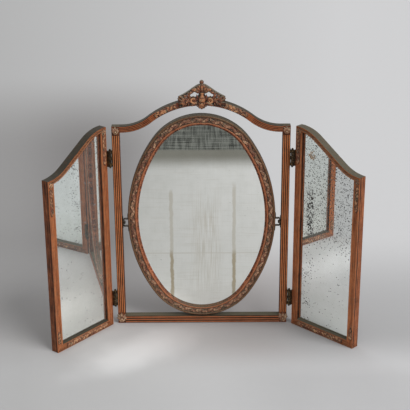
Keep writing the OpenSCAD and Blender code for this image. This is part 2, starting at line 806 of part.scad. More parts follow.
// The strap arches out from the edge of the oval, with a foot above and below
module pivot_strap(side) {
    near = side_r + hair;
    far = near + strap_t;
    color(brass) mirrored(side)
        difference() {
            translate([0, 0, pivot_z])
                face_plate(-strap_w / 2, strap_w / 2)
                    polygon(concat(
                        strap_face(far, arch_half_h, strap_bend, 1),
                        reversed(strap_face(far, arch_half_h, strap_bend, -1)),
                        strap_face(near, arch_half_h - strap_t, strap_bend - strap_t, -1),
                        reversed(strap_face(near, arch_half_h - strap_t, strap_bend - strap_t, 1))
                    ));
            translate([strap_x - strap_t - over, 0, pivot_z]) rotate([0, 90, 0])
                cylinder(r = stud_r + stud_gap, h = strap_t + 2 * over);
            foot_screws(0.05);
        }
}

module foot_screws(gap) {
    mid = oval_z - pivot_z;
    reach = (arch_half_h + strap_half_h) / 2;
    for (z = [reach - mid, -reach - mid])
        translate([-side_c, 0, oval_z]) rotate([0, -asin(z / side_r), 0])
            translate([side_r + hair + strap_t, 0, 0]) rotate([0, -90, 0]) screw(gap);
}

module strap_screws() {
    color(brass) for (side = [-1, 1]) mirrored(side) foot_screws(0);
}

// Hinges, drawn on the right side with the pin's axis at the origin
module hinge_leaf(own) {
    color(brass)
        difference() {
            union() {
                translate([-leaf_in - hinge_leaf_t, 0, 0]) cube([hinge_leaf_t, hinge_leaf_d, hinge_h]);
                for (i = [own : 2 : knuckles - 1]) {
                    low = i == 0 ? 0 : knuckle_gap / 2;
                    high = i == knuckles - 1 ? 0 : knuckle_gap / 2;
                    translate([0, 0, i * knuckle_h + low]) {
                        cylinder(r = knuckle_r, h = knuckle_h - low - high);
                        translate([-leaf_in - hinge_leaf_t, -hinge_leaf_t / 2, 0])
                            cube([leaf_in + hinge_leaf_t, hinge_leaf_t, knuckle_h - low - high]);
                    }
                }
            }
            translate([0, 0, -over]) cylinder(r = pin_r + pin_gap, h = hinge_h + 2 * over);
            leaf_screws(0.05);
        }
}

// Three screws through a hinge leaf, staggered
module leaf_screws(gap) {
    for (i = [0 : 2])
        translate([
            -leaf_in,
            pin_front + (hinge_leaf_d - pin_front) * (i == 1 ? 0.66 : 0.38),
            hinge_h * (0.18 + 0.32 * i)
        ])
            rotate([0, -90, 0]) screw(gap);
}

module hinge_pin() {
    color(brass) {
        translate([0, 0, -finial_h / 2]) cylinder(r = pin_r, h = hinge_h + finial_h);
        for (end = [0, 1])
            translate([0, 0, hinge_h / 2]) mirror([0, 0, end]) translate([0, 0, hinge_h / 2]) finial();
    }
}

// A collar and an acorn at the end of a pin
module finial() {
    collar_h = 0.9;
    translate([0, 0, knuckle_gap])
        rotate_extrude() polygon([
            [0, 0], [knuckle_r - 0.5, 0], [knuckle_r - 0.5, collar_h], [pin_r, collar_h + 0.3],
            [pin_r + 0.6, collar_h + 1.2], [pin_r + 0.7, collar_h + 1.9],
            [pin_r - 0.2, finial_h - 0.9], [0, finial_h - knuckle_gap]
        ]);
}

module frame_hinge(side, z) {
    mirrored(side) translate([pin_x, pin_y, z]) hinge_leaf(0);
}

module frame_screws(side) {
    color(brass) mirrored(side) {
        for (z = [upper_hinge_z, lower_hinge_z]) translate([pin_x, pin_y, z]) leaf_screws(0);
        pivot_plate_screws(0);
    }
}

// In the wing's own space the pin stands at s = -wing_gap / 2
module at_wing_hinge(z) {
    translate([-wing_gap / 2, pin_y, z]) mirror([1, 0, 0]) children();
}

module wing_hinge(side, z) {
    wing_place(side) at_wing_hinge(z) hinge_leaf(1);
}

module wing_hinge_pin(side, z) {
    wing_place(side) at_wing_hinge(z) hinge_pin();
}

module wing_screws(side) {
    color(brass) wing_place(side)
        for (z = [upper_hinge_z, lower_hinge_z]) at_wing_hinge(z) leaf_screws(0);
}

// Wing frames: the profile is drawn from the sight edge at 0 to the outer edge at w
module wing_body(w, inset = 0) {
    bead_in = wing_bead_u - wing_bead_r;
    polygon([
        [inset, wing_glass_f + inset], [inset, wing_glass_f + wing_lip - inset],
        [bead_in, wing_bed_f - 1.6 - inset], [bead_in + 0.6, wing_bed_f - inset],
        [w - inset, wing_bed_f - inset], [w - inset, inset - half_d],
        [rebate_w + inset, inset - half_d], [rebate_w + inset, wing_glass_f + inset]
    ]);
}

module wing_bead(inset = 0) {
    translate([wing_bead_u, half_d - wing_bead_r]) circle(wing_bead_r - inset);
}

module wing_arris(w, inset = 0) {
    translate([w - wing_arris_w + inset, inset - half_d])
        square([wing_arris_w - 2 * inset, frame_d - wing_arris_drop - 2 * inset]);
}

// Half space on the far side of a mitre line from one point to another, in the plane of the frame
module mitre_cut(from, to) {
    reach = 60;
    turn = atan2(to[1] - from[1], to[0] - from[0]);
    translate([from[0], 0, from[1]]) rotate([0, -turn, 0])
        translate([-reach, -frame_d, 0]) cube([2 * reach, 2 * frame_d, reach]);
}

// Corner points of the mitres, outer and inner
foot_inner = [[0, 0], [wing_rail_w, wing_rail_w]];
foot_outer = [[wing_w, 0], [wing_w - wing_rail_w, wing_rail_w]];
head_inner = [[0, wing_edge(0, 0)], [wing_rail_w, wing_edge(wing_rail_w, wing_cap_w)]];
head_outer = [
    [wing_w, wing_edge(wing_w, 0)],
    [wing_w - wing_rail_w, wing_edge(wing_w - wing_rail_w, wing_cap_w)]
];

module wing_inner_stile(side) {
    color(wood) wing_place(side)
        difference() {
            translate([wing_rail_w, 0, 0]) mirror([1, 0, 0]) upright(wing_h) {
                wing_body(wing_rail_w);
                wing_bead();
                wing_arris(wing_rail_w);
            }
            mitre_cut(head_inner[0], head_inner[1]);
            mirror([0, 0, 1]) mitre_cut(foot_inner[0], [wing_rail_w, -wing_rail_w]);
            for (z = [upper_hinge_z, lower_hinge_z])
                translate([-over, -half_d - over, z - recess_gap])
                    cube([
                        hinge_sink + over,
                        hinge_leaf_d - pin_front + over + recess_gap,
                        hinge_h + 2 * recess_gap
                    ]);
        }
}

module wing_outer_stile(side) {
    color(wood) wing_place(side)
        difference() {
            translate([wing_w - wing_rail_w, 0, 0]) upright(wing_h - wing_drop + over) {
                wing_body(wing_rail_w);
                wing_bead();
                wing_arris(wing_rail_w);
            }
            mitre_cut(head_outer[1], head_outer[0]);
            mirror([0, 0, 1]) mitre_cut([wing_w - wing_rail_w, -wing_rail_w], [wing_w, 0]);
        }
}

module wing_bottom_rail(side) {
    color(wood) wing_place(side)
        difference() {
            translate([0, 0, wing_rail_w]) mirror([0, 0, 1]) along_x(wing_w) {
                wing_body(wing_rail_w);
                wing_bead();
                wing_arris(wing_rail_w);
            }
            mitre_cut(foot_inner[0], foot_inner[1]);
            mitre_cut(foot_outer[1], foot_outer[0]);
        }
}

module wing_top_rail(side) {
    peak_turn = asin((wing_peak + over) / (wing_peak_r - wing_cap_w));
    color(wood) wing_place(side)
        difference() {
            union() {
                arc_bar(
                    wing_peak, peak_z, 90 - wing_slope, wing_slope + peak_turn, wing_peak_r - wing_cap_w
                ) {
                    wing_body(wing_cap_w);
                    wing_bead();
                    wing_arris(wing_cap_w);
                }
                translate([slope_start_s, 0, slope_start_z]) rotate([0, wing_slope, 0])
                    translate([-lap, 0, -wing_cap_w]) along_x(slope_l + 2 * lap) {
                        wing_body(wing_cap_w, hair);
                        wing_bead(hair);
                        wing_arris(wing_cap_w, hair);
                    }
                arc_bar(wing_w, hollow_z, 270 - wing_slope, wing_slope, hollow_r + wing_cap_w) {
                    mirror([1, 0]) wing_body(wing_cap_w);
                    mirror([1, 0]) wing_bead();
                    mirror([1, 0]) wing_arris(wing_cap_w);
                }
            }
            mirror([0, 0, 1])
                mitre_cut([head_inner[0][0], -head_inner[0][1]], [head_inner[1][0], -head_inner[1][1]]);
            mirror([0, 0, 1])
                mitre_cut([head_outer[1][0], -head_outer[1][1]], [head_outer[0][0], -head_outer[0][1]]);
        }
}

// Runs of leaf carving on the flat beds of a wing, between the bead and the arris
module wing_leaves(side) {
    bed_w = wing_rail_w - wing_bead_u - wing_bead_r - wing_arris_w;
    bed_mid = wing_arris_w + bed_w / 2;
    color(gilt) wing_place(side) on_face(wing_bed_f) {
        translate([bed_mid, wing_h - run_start])
            rotate([0, 0, -90]) leaf_run(peak_run_l, bed_w, leaf_relief);
        translate([wing_w - bed_mid, wing_h - wing_drop - run_start])
            rotate([0, 0, -90]) leaf_run(outer_run_l, bed_w, leaf_relief);
        translate([wing_w - bed_mid, run_start])
            rotate([0, 0, 90]) leaf_run(foot_run_l, bed_w, leaf_relief);
        translate([wing_w - rail_run_start, bed_mid])
            rotate([0, 0, 180]) leaf_run(rail_run_l, bed_w, leaf_relief);
    }
}

module wing_plate(side, back, front) {
    inset = rebate_w - glass_gap;
    wing_place(side) face_plate(back, front)
        polygon(wing_outline(wing_rail_w - inset, wing_cap_w - inset, 30));
}

module wing_glass(side) {
    color(silver) wing_plate(side, wing_glass_f - glass_t, wing_glass_f);
}

module wing_backboard(side) {
    color(board) wing_plate(side, wing_glass_f - glass_t - board_t, wing_glass_f - glass_t);
}

module wing_brads(side) {
    f = wing_glass_f - glass_t - board_t - brad_r;
    wall = wing_rail_w - rebate_w;
    color(brass) wing_place(side)
        for (t = [0.15, 0.4, 0.65, 0.88])
            translate([0, 0, (wing_h - wing_drop) * t]) {
                translate([wing_w - 2 * wall, 0, 0]) brad(wall, f);
                mirror([1, 0, 0]) brad(-wall, f);
            }
}

stile(-1);  // left_stile
stile(1);  // right_stile
top_rail();
bottom_rail();
crest_carving();
leaf_spray(-1);  // left_leaf_spray
leaf_spray(1);  // right_leaf_spray
upper_corner_leaf(-1);  // upper_left_corner_leaf
upper_corner_leaf(1);  // upper_right_corner_leaf
lower_corner_leaf(-1);  // lower_left_corner_leaf
lower_corner_leaf(1);  // lower_right_corner_leaf
pivot_plate(-1);  // left_pivot_plate
pivot_plate(1);  // right_pivot_plate
pivot_stud(-1);  // left_pivot_stud
pivot_stud(1);  // right_pivot_stud
frame_hinge(-1, upper_hinge_z);  // left_upper_frame_hinge
frame_hinge(-1, lower_hinge_z);  // left_lower_frame_hinge
frame_hinge(1, upper_hinge_z);  // right_upper_frame_hinge
frame_hinge(1, lower_hinge_z);  // right_lower_frame_hinge
frame_screws(-1);  // left_frame_screws
frame_screws(1);  // right_frame_screws
oval_frame();
oval_carved_band();
oval_glass();
oval_backboard();
oval_brads();
pivot_strap(-1);  // left_pivot_strap
pivot_strap(1);  // right_pivot_strap
strap_screws();
wing_inner_stile(-1);  // left_wing_inner_stile
wing_outer_stile(-1);  // left_wing_outer_stile
wing_top_rail(-1);  // left_wing_top_rail
wing_bottom_rail(-1);  // left_wing_bottom_rail
wing_leaves(-1);  // left_wing_leaves
wing_glass(-1);  // left_wing_glass
wing_backboard(-1);  // left_wing_backboard
wing_brads(-1);  // left_wing_brads
wing_hinge(-1, upper_hinge_z);  // left_upper_wing_hinge
wing_hinge(-1, lower_hinge_z);  // left_lower_wing_hinge
wing_hinge_pin(-1, upper_hinge_z);  // left_upper_hinge_pin
wing_hinge_pin(-1, lower_hinge_z);  // left_lower_hinge_pin
wing_screws(-1);  // left_wing_screws
wing_inner_stile(1);  // right_wing_inner_stile
wing_outer_stile(1);  // right_wing_outer_stile
wing_top_rail(1);  // right_wing_top_rail
wing_bottom_rail(1);  // right_wing_bottom_rail
wing_leaves(1);  // right_wing_leaves
wing_glass(1);  // right_wing_glass
wing_backboard(1);  // right_wing_backboard
wing_brads(1);  // right_wing_brads
wing_hinge(1, upper_hinge_z);  // right_upper_wing_hinge
wing_hinge(1, lower_hinge_z);  // right_lower_wing_hinge
wing_hinge_pin(1, upper_hinge_z);  // right_upper_hinge_pin
wing_hinge_pin(1, lower_hinge_z);  // right_lower_hinge_pin
wing_screws(1);  // right_wing_screws
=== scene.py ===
import math

import bpy
import numpy as np
from mathutils import Matrix, Vector


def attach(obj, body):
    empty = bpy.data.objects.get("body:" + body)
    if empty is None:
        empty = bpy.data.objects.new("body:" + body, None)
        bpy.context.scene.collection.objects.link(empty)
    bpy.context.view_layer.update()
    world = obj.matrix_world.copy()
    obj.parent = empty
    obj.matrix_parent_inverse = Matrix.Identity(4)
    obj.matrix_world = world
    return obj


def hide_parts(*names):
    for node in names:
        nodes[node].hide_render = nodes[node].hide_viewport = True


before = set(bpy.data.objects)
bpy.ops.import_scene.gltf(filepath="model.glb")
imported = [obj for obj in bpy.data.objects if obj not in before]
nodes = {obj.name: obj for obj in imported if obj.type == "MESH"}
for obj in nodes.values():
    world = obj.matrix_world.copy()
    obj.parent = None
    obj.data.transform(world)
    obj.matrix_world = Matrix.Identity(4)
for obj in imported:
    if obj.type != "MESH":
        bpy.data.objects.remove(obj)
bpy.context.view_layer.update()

MM = 0.001

# Sizes that the stand, the oval and the wings share with the CAD, in millimetres
FRAME_W = 400.0
STILE_W = 17.5
FRAME_H = 487.0
HALF_D = 10.0
ARCH_RAIL_H = 14.0
ARCH_RISE = 61.5
COVE_R = 110.0
ARCH_FLAT = 4.5
FOOT_BLOCK_H = 28.0
HEAD_BLOCK_H = 21.0
STILE_X = FRAME_W / 2 - STILE_W
ARCH_HALF = STILE_X - ARCH_FLAT
ARCH_TURN = 2 * math.atan(ARCH_RISE / ARCH_HALF)
CROWN_R = ARCH_HALF / math.sin(ARCH_TURN) - COVE_R
CROWN_Z = FRAME_H - ARCH_RAIL_H + ARCH_RISE - CROWN_R
CROWN_TOP = FRAME_H + ARCH_RISE

OVAL_SIDE_GAP = 13.0
OVAL_TOP_GAP = 22.0
OVAL_LOW = 20.5
OVAL_A = STILE_X - OVAL_SIDE_GAP
OVAL_END_R = 134.0
OVAL_B = (FRAME_H - ARCH_RAIL_H + ARCH_RISE - OVAL_TOP_GAP - OVAL_LOW) / 2
OVAL_Z = OVAL_LOW + OVAL_B
END_C = OVAL_B - OVAL_END_R
SIDE_R = (OVAL_A ** 2 + END_C ** 2 - OVAL_END_R ** 2) / (2 * (OVAL_A - OVAL_END_R))
SIDE_C = SIDE_R - OVAL_A
SIDE_TURN = math.atan(END_C / SIDE_C)
OVAL_MOULD_W = 24.0
BAND_BED = 8.0
BAND_IN = 7.9
BAND_OUT = 18.65
BAND_LANES = 25
SIDE_STEPS = 800
END_STEPS = 440

WING_W = 182.0
WING_H = FRAME_H + 1.5
WING_DROP = 79.0
WING_GAP = 9.0
PIN_FORWARD = 4.7
PIN_X = FRAME_W / 2 + WING_GAP / 2
PIN_Y = -HALF_D - PIN_FORWARD
WING_TURN = {"left": math.radians(51.4), "right": math.radians(45.4)}
WING_SIGN = {"left": -1.0, "right": 1.0}

# Carved boards reach from a back inside the wood to a ground near the face of the bed. Places along the crown count
# from the middle
GROUND = 8.2
GROUND_BACK = 7.9
CREST_BACK = -1.5
CREST_HALF = 53.0
SPRAY_FROM = 53.0
SPRAY_TO = 102.0
SPRAY_HALF = 6.75
REEDS_FROM = 97.0


# ---- placing

def on_stand(rings):
    """Points (x, z, forward) in millimetres on the stand or the oval become points in metres."""
    x, z, forward = np.moveaxis(rings, -1, 0)
    return np.stack((x, -forward, z), -1) * MM


def on_wing(side):
    """Points (s, z, forward) in millimetres, s counted from the hinge side of a wing, become points in metres."""
    turn, sign = WING_TURN[side], WING_SIGN[side]

    def place(rings):
        s, z, forward = np.moveaxis(rings, -1, 0)
        out, back = s + WING_GAP / 2, -forward - PIN_Y
        x = PIN_X + out * math.cos(turn) + back * math.sin(turn)
        y = PIN_Y - out * math.sin(turn) + back * math.cos(turn)
        return np.stack((sign * x, y, z), -1) * MM
    return place


# ---- surfaces

def skin(rings, relief, wrap=False):
    """Closed surface through rings[k, j]. Ring k joins ring k + 1 all round. The two end rings are closed by fans on
    their middle points, or join each other where the surface wraps. relief[k, j] is kept for the material."""
    count, size = rings.shape[:2]
    points = rings.reshape(-1, 3)
    level = relief.reshape(-1)
    k, j = np.meshgrid(np.arange(count if wrap else count - 1), np.arange(size), indexing="ij")
    here, there = k * size, (k + 1) % count * size
    side = (j + 1) % size
    quads = np.stack((here + j, there + j, there + side, here + side), -1).reshape(-1, 4)
    fans = np.zeros((0, 3), int)
    if not wrap:
        points = np.vstack((points, rings[0].mean(0), rings[-1].mean(0)))
        level = np.concatenate((level, [relief[0].mean(), relief[-1].mean()]))
        turn = np.arange(size)
        after = (turn + 1) % size
        last = (count - 1) * size
        fans = np.vstack((
            np.stack((turn, after, np.full(size, count * size)), -1),
            np.stack((last + after, last + turn, np.full(size, count * size + 1)), -1),
        ))
    return points, quads, fans, level


def outward(points, quads, fans):
    """Faces turned so that the enclosed volume, the sum of a · (b × c) / 6 over the triangles, is positive."""
    tris = np.vstack((quads[:, [0, 1, 2]], quads[:, [0, 2, 3]], fans))
    a, b, c = (points[tris[:, n]] for n in range(3))
    if np.einsum("ij,ij->i", a, np.cross(b, c)).sum() < 0:
        return quads[:, ::-1], fans[:, ::-1]
    return quads, fans


def new_object(name, data):
    made = bpy.data.objects.new(name, data)
    bpy.context.scene.collection.objects.link(made)
    return made


def make_piece(name, parts, body, finish, replaced=()):
    """One mesh object from several closed skins, riding on a body. The relief goes with it for the material."""
    points, faces, levels, base = [], [], [], 0
    for part_points, quads, fans, level in parts:
        centre = part_points.mean(0)
        quads, fans = outward(part_points - centre, quads, fans)
        points.append(part_points)
        levels.append(level)
        faces += (quads + base).tolist() + (fans + base).tolist()
        base += len(part_points)
    mesh = bpy.data.meshes.new(name)
    mesh.from_pydata(np.vstack(points).tolist(), [], faces)
    mesh.attributes.new("relief", "FLOAT", "POINT").data.foreach_set("value", np.concatenate(levels).astype(np.float32))
    mesh.polygons.foreach_set("use_smooth", np.ones(len(mesh.polygons), bool))
    mesh.materials.append(finish)
    mesh.update()
    piece = new_object(name, mesh)
    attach(piece, body)
    if replaced:
        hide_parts(*replaced)


def leaf(root, angle, length, width, height, base, bend=0.0, curl=0.0, lobes=3.0, stations=15):
    """A carved leaf: a scalloped blade with a groove down its middle. At the share u of its length its spine is at
    root + length · u along the angle, pushed aside by bend · length · u², and it rises to curl at its tip."""
    u = np.linspace(0.02, 0.985, stations)[:, None]
    t = np.linspace(-1, 1, 9)[None, :]
    turn = math.radians(angle)
    spread = width / 2 * np.sin(np.pi * u ** 0.8) ** 0.7 * (1 + 0.16 * np.cos(2 * np.pi * lobes * u))
    rise = height * (0.4 + 0.6 * np.sin(np.pi * u ** 1.2)) + curl * u ** 3
    top = rise * (1 - 0.8 * t ** 2) * (1 - 0.35 * np.exp(-(t / 0.2) ** 2))
    across = np.concatenate((spread * t, spread * np.array([[0.9, 0.0, -0.9]])), 1)
    under = np.repeat(curl * u ** 3 * 0.6 - 0.3, 3, 1)
    forward = base + np.concatenate((top, under), 1)
    along = np.broadcast_to(length * u, across.shape)
    across = across + bend * length * u ** 2
    x = root[0] + along * math.cos(turn) - across * math.sin(turn)
    z = root[1] + along * math.sin(turn) + across * math.cos(turn)
    relief = np.concatenate((top / max(height, 0.1), np.full(under.shape, 0.05)), 1)
    return np.stack((x, z, forward), -1), np.clip(relief, 0, 1)


def fan(root, angle, spread, count, length, width, height, base, **form):
    """Leaves spread evenly over an angle, longest in the middle. A leaf at the edge has 0.62 of the full length."""
    made = []
    for i in range(count):
        turn = spread * (i / (count - 1) - 0.5)
        share = 1 - 0.38 * abs(turn) * 2 / spread
        made.append(leaf(root, angle + turn, length * share, width, height * (0.85 + 0.15 * share), base, **form))
    return made


def turned(x, forward, profile, deep=1.0, points=20):
    """A turned body: profile rows are (height, radius), its depth scaled."""
    heights, radii = np.array(profile, float).T[:, :, None]
    v = np.linspace(0, 2 * np.pi, points, endpoint=False)[None, :]
    rings = np.stack((x + radii * np.cos(v), heights + 0 * v, forward + deep * radii * np.sin(v)), -1)
    return rings, np.clip(0.3 + 0.7 * np.sin(v) + 0 * radii, 0, 1)


def ball(x, z, forward, radius, deep=1.0):
    """A berry or knob, high in its middle and low all round its edge."""
    u = np.linspace(0.06, 0.94, 9) * np.pi
    rings, _ = turned(x, forward, np.stack((z + radius * np.cos(u), radius * np.sin(u)), -1), deep, 14)
    return rings, np.clip(0.35 + 0.65 * (rings[..., 2] - forward) / (deep * radius), 0, 1)


def strip(path, section, scale=1.0, relief=None):
    """A profile carried along a plane path: at each point of the path, (offset, forward) of the profile is laid off
    along the path's normal and towards the front. scale shrinks the profile's offsets and heights along the way."""
    path, section = np.array(path, float), np.array(section, float)
    way = np.gradient(path, axis=0)
    way /= np.linalg.norm(way, axis=1, keepdims=True)
    normal = np.stack((-way[:, 1], way[:, 0]), -1)
    scale = np.broadcast_to(scale, len(path))[:, None]
    back = section[:, 1].min()
    offset = scale * section[:, 0]
    forward = back + scale * (section[:, 1] - back)
    rings = np.stack((path[:, :1] + normal[:, :1] * offset, path[:, 1:] + normal[:, 1:] * offset, forward), -1)
    if relief is None:
        relief = (section[:, 1] - back) / np.ptp(section[:, 1])
    return rings, np.broadcast_to(relief, rings.shape[:2])


def round_section(half, back, front, points):
    """Rounded profile. With c, s = cos, sin round it and e = 0.55, offset = half · sign(c) · |c|^e and
    forward = middle + depth / 2 · sign(s) · |s|^e."""
    v = np.linspace(0, 2 * np.pi, points, endpoint=False)
    c, s = (np.sign(part) * np.abs(part) ** 0.55 for part in (np.cos(v), np.sin(v)))
    return np.stack((half * c, (back + front) / 2 + (front - back) / 2 * s), -1)


def scroll(x, z, outer, inner, start, sweep, tube, forward):
    """A C-scroll: its middle line runs at a radius that falls from outer to inner over the sweep, and its tube
    thins towards the eye."""
    u = np.linspace(0, 1, 34)
    turn = np.radians(start + sweep * u)
    radius = outer + (inner - outer) * u ** 0.9
    path = np.stack((x + radius * np.cos(turn), z + radius * np.sin(turn)), -1)
    scale = (0.45 + 0.55 * np.sin(np.pi * np.clip(0.1 + 0.8 * u, 0, 1)) ** 0.5) * (1 - 0.25 * u)
    return strip(path, round_section(tube, forward - 1.6, forward + tube * 1.1, 14), scale)


def mirrored(parts, side):
    """The same rings on the other side of the middle line."""
    return [(rings * np.array([side, 1, 1]), relief) for rings, relief in parts]


def closed(parts, place):
    """The rings of a piece put in their place and closed."""
    return [skin(place(rings), relief) for rings, relief in parts]


def make_carving(name, parts, finish, replaced=(), side=None):
    """A carved piece on the stand, or on the wing of a side."""
    place, body = (on_wing(side), f"{side}_wing") if side else (on_stand, "stand")
    make_piece(name, closed(parts, place), body, finishes[finish], replaced)


# ---- shader parts

class Signal:
    """An output of a node. Arithmetic on it adds Math nodes to the same tree."""

    def __init__(self, socket):
        self.socket = socket

    def __add__(self, other):
        return calc("ADD", self, other)

    def __sub__(self, other):
        return calc("SUBTRACT", self, other)

    def __rsub__(self, other):
        return calc("SUBTRACT", other, self)

    def __mul__(self, other):
        return calc("MULTIPLY", self, other)

    def __truediv__(self, other):
        return calc("DIVIDE", self, other)

    __radd__, __rmul__ = __add__, __mul__

    def ease(self, low, high, start=0.0, end=1.0):
        """start below low, end above high and a smooth step between."""
        return add("MapRange", {"Value": self, "From Min": low, "From Max": high, "To Min": start, "To Max": end},
                   interpolation_type="SMOOTHSTEP")[0]

    def fall(self, low, high):
        """1 below low, 0 above high."""
        return self.ease(low, high, 1.0, 0.0)


class Outputs:
    """The outputs of a node, by name or number."""

    def __init__(self, node):
        self.node = node

    def __getitem__(self, key):
        return Signal(self.node.outputs[key])


def feed(node, sockets):
    """Inputs of a node: signals are linked, values are set."""
    for key, given in sockets.items():
        if isinstance(given, Signal):
            node.id_data.links.new(given.socket, node.inputs[key])
        else:
            node.inputs[key].default_value = given


def add(kind, sockets, tree=None, **settings):
    """One shader node, in the tree of its signals unless a tree is given. settings are its options."""
    if tree is None:
        tree = next(given.socket.id_data for given in sockets.values() if isinstance(given, Signal))
    made = tree.nodes.new("ShaderNode" + kind)
    for key, setting in settings.items():
        setattr(made, key, setting)
    feed(made, sockets)
    return Outputs(made)


def calc(operation, a, b=0.0, clamp=False):
    return add("Math", {0: a, 1: b}, operation=operation, use_clamp=clamp)[0]


def peak(first, *others):
    """The largest of several signals."""
    for other in others:
        first = calc("MAXIMUM", first, other)
    return first


def distance(a, b):
    """The length of (a, b)."""
    return calc("SQRT", a * a + b * b)


def near(source, middle, half, core=0.35):
    """1 within the core share of half from the middle value, 0 beyond half."""
    return calc("ABSOLUTE", source - middle).fall(half * core, half)


def times(vector, other):
    """Two vectors or colours multiplied part by part."""
    return add("VectorMath", {0: vector, 1: other}, operation="MULTIPLY")[0]


def scaled(vector, share):
    return add("VectorMath", {0: vector, "Scale": share}, operation="SCALE")[0]


def mix(share, a, b):
    return add("Mix", {0: share, 6: a, 7: b}, data_type="RGBA")[2]


def noise(vector, scale, detail=3.0, roughness=0.5):
    return add("TexNoise", {"Vector": vector, "Scale": scale, "Detail": detail, "Roughness": roughness})["Fac"]


def bump(height, distance):
    return add("Bump", {"Height": height, "Distance": distance, "Strength": 1.0})[0]


def use(group, **sockets):
    """A node group placed in a material with its own values."""
    return add("Group", sockets, node_tree=group)


def rgb(red, green, blue):
    """A colour as it shows on screen, 0 to 255, turned into linear light."""
    share = np.array([red, green, blue]) / 255
    linear = np.where(share <= 0.04045, share / 12.92, ((share + 0.055) / 1.055) ** 2.4)
    return (*linear.tolist(), 1.0)


def shaded(colour, share):
    return (*(min(1.0, share * part) for part in colour[:3]), 1.0)


def shader_group(name, inputs, outputs):
    """A node group with named sockets of the given kinds: the group, what comes in, and the node for what goes out."""
    group = bpy.data.node_groups.new(name, "ShaderNodeTree")
    for way, sockets in (("INPUT", inputs), ("OUTPUT", outputs)):
        for label, kind in sockets.items():
            group.interface.new_socket(label, in_out=way, socket_type="NodeSocket" + kind)
    return group, Outputs(group.nodes.new("NodeGroupInput")), group.nodes.new("NodeGroupOutput")


def make_dust_group():
    """Where dust lies: on faces that look up, a little thinned by noise."""
    group, source, sink = shader_group("settled dust", {"Vector": "Vector", "Amount": "Float"}, {"Mask": "Float"})
    normal = add("NewGeometry", {}, group)["Normal"]
    lying = add("SeparateXYZ", {0: normal})["Z"].ease(0.3, 0.75)
    broken = noise(source["Vector"], 160.0, 5.0, 0.65).ease(0.25, 0.6, 0.75, 1.0)
    feed(sink, {"Mask": calc("MULTIPLY", lying * broken, source["Amount"], clamp=True)})
    return group


def make_patina_group():
    """Bronze powder over dark brown: deep colour in the hollows, partly the dark brown ground and partly painted shade,
    body colour on the slopes and rubbed metal on the highs, broken by two sizes of noise. Variety brings in patches of
    red ground and of stale olive bronzing, and settled dust lies on top."""
    group, source, sink = shader_group(
        "rubbed bronzing",
        {"Vector": "Vector", **dict.fromkeys(("Relief", "Dust", "Mottle", "Variety"), "Float"),
         **dict.fromkeys(("Deep", "Body", "Rubbed", "Settled"), "Color")},
        {"Color": "Color", "Roughness": "Float", "Metallic": "Float"})
    vector, variety, dust = source["Vector"], source["Variety"], source["Dust"]
    broad = noise(vector, 55.0, 5.0, 0.6) - 0.5
    fine = noise(vector, 620.0, 3.0, 0.6) - 0.5
    level = source["Relief"] + (broad * 1.1 + fine * 0.8) * source["Mottle"]
    rub = level.ease(0.58, 0.98)
    bright = mix(rub, mix(level.ease(0.08, 0.52), source["Deep"], source["Body"]), source["Rubbed"])
    patches = add("TexNoise", {"Vector": vector, "Scale": 135.0, "Detail": 3.0, "Roughness": 0.6})
    tones = add("SeparateColor", {0: patches["Color"]})
    red = tones["Red"].ease(0.50, 0.64) * variety
    stale = tones["Green"].ease(0.50, 0.66) * variety
    warm = mix(red * 0.6, bright, rgb(122, 58, 44))
    olive = mix(stale * 0.75, warm, mix(rub, rgb(70, 62, 46), rgb(158, 144, 116)))
    shine = rub * (1.0 - dust)
    feed(sink, {"Color": mix(dust, olive, source["Settled"]), "Roughness": 0.66 - shine * 0.24,
                "Metallic": shine * 0.4})
    return group


def make_grain_group():
    """Fine lines along one axis: noise on a vector that is stretched along the grain."""
    group, source, sink = shader_group("fine striations", {"Vector": "Vector", "Stretch": "Vector"},
                                       {"Lines": "Float"})
    feed(sink, {"Lines": noise(times(source["Vector"], source["Stretch"]), 1.0, 4.0, 0.6)})
    return group


def make_foxing_group():
    """Silvering lost in specks: cells of three sizes. A cell has a black dot if its random number, raised by the
    amount, is over 1, and the dots differ in size."""
    group, source, sink = shader_group("lost silvering", {"Vector": "Vector", "Amount": "Float"},
                                       {"Specks": "Float", "Haze": "Float"})
    specks = []
    for cells, size in ((120.0, 0.22), (230.0, 0.32), (380.0, 0.42)):
        spots = add("TexVoronoi", {"Vector": source["Vector"], "Scale": cells, "Randomness": 1.0})
        pick = add("SeparateColor", {0: spots["Color"]})["Red"]
        dot = (pick + 0.15) * size - spots["Distance"]
        specks.append(dot.ease(0.0, 0.08) * (pick + source["Amount"]).ease(0.98, 1.02))
    feed(sink, {"Specks": peak(*specks), "Haze": noise(source["Vector"], 30.0, 6.0, 0.65).ease(0.35, 0.75)})
    return group


DUST = make_dust_group()
PATINA = make_patina_group()
GRAIN = make_grain_group()
FOXING = make_foxing_group()


# ---- materials

def new_material(name, place="stand"):
    """A material, its shader, and its points as (across, back, up) on the stand, or on a wing with the first two
    counted from its pins and turned with it."""
    material = bpy.data.materials.new(name)
    material.use_nodes = True
    tree = material.node_tree
    tree.nodes.clear()
    shader = tree.nodes.new("ShaderNodeBsdfPrincipled")
    output = tree.nodes.new("ShaderNodeOutputMaterial")
    tree.links.new(shader.outputs[0], output.inputs[0])
    point = add("TexCoord", {}, tree)["Object"]
    if place in WING_TURN:
        turn = WING_TURN[place] * WING_SIGN[place]
        px, py = PIN_X * WING_SIGN[place] * MM, PIN_Y * MM
        shift = (-(px * math.cos(turn) - py * math.sin(turn)), -(px * math.sin(turn) + py * math.cos(turn)) + py, 0.0)
        point = add("Mapping", {"Vector": point, "Location": shift, "Rotation": (0.0, 0.0, turn)},
                    vector_type="POINT")[0]
    return material, shader, point


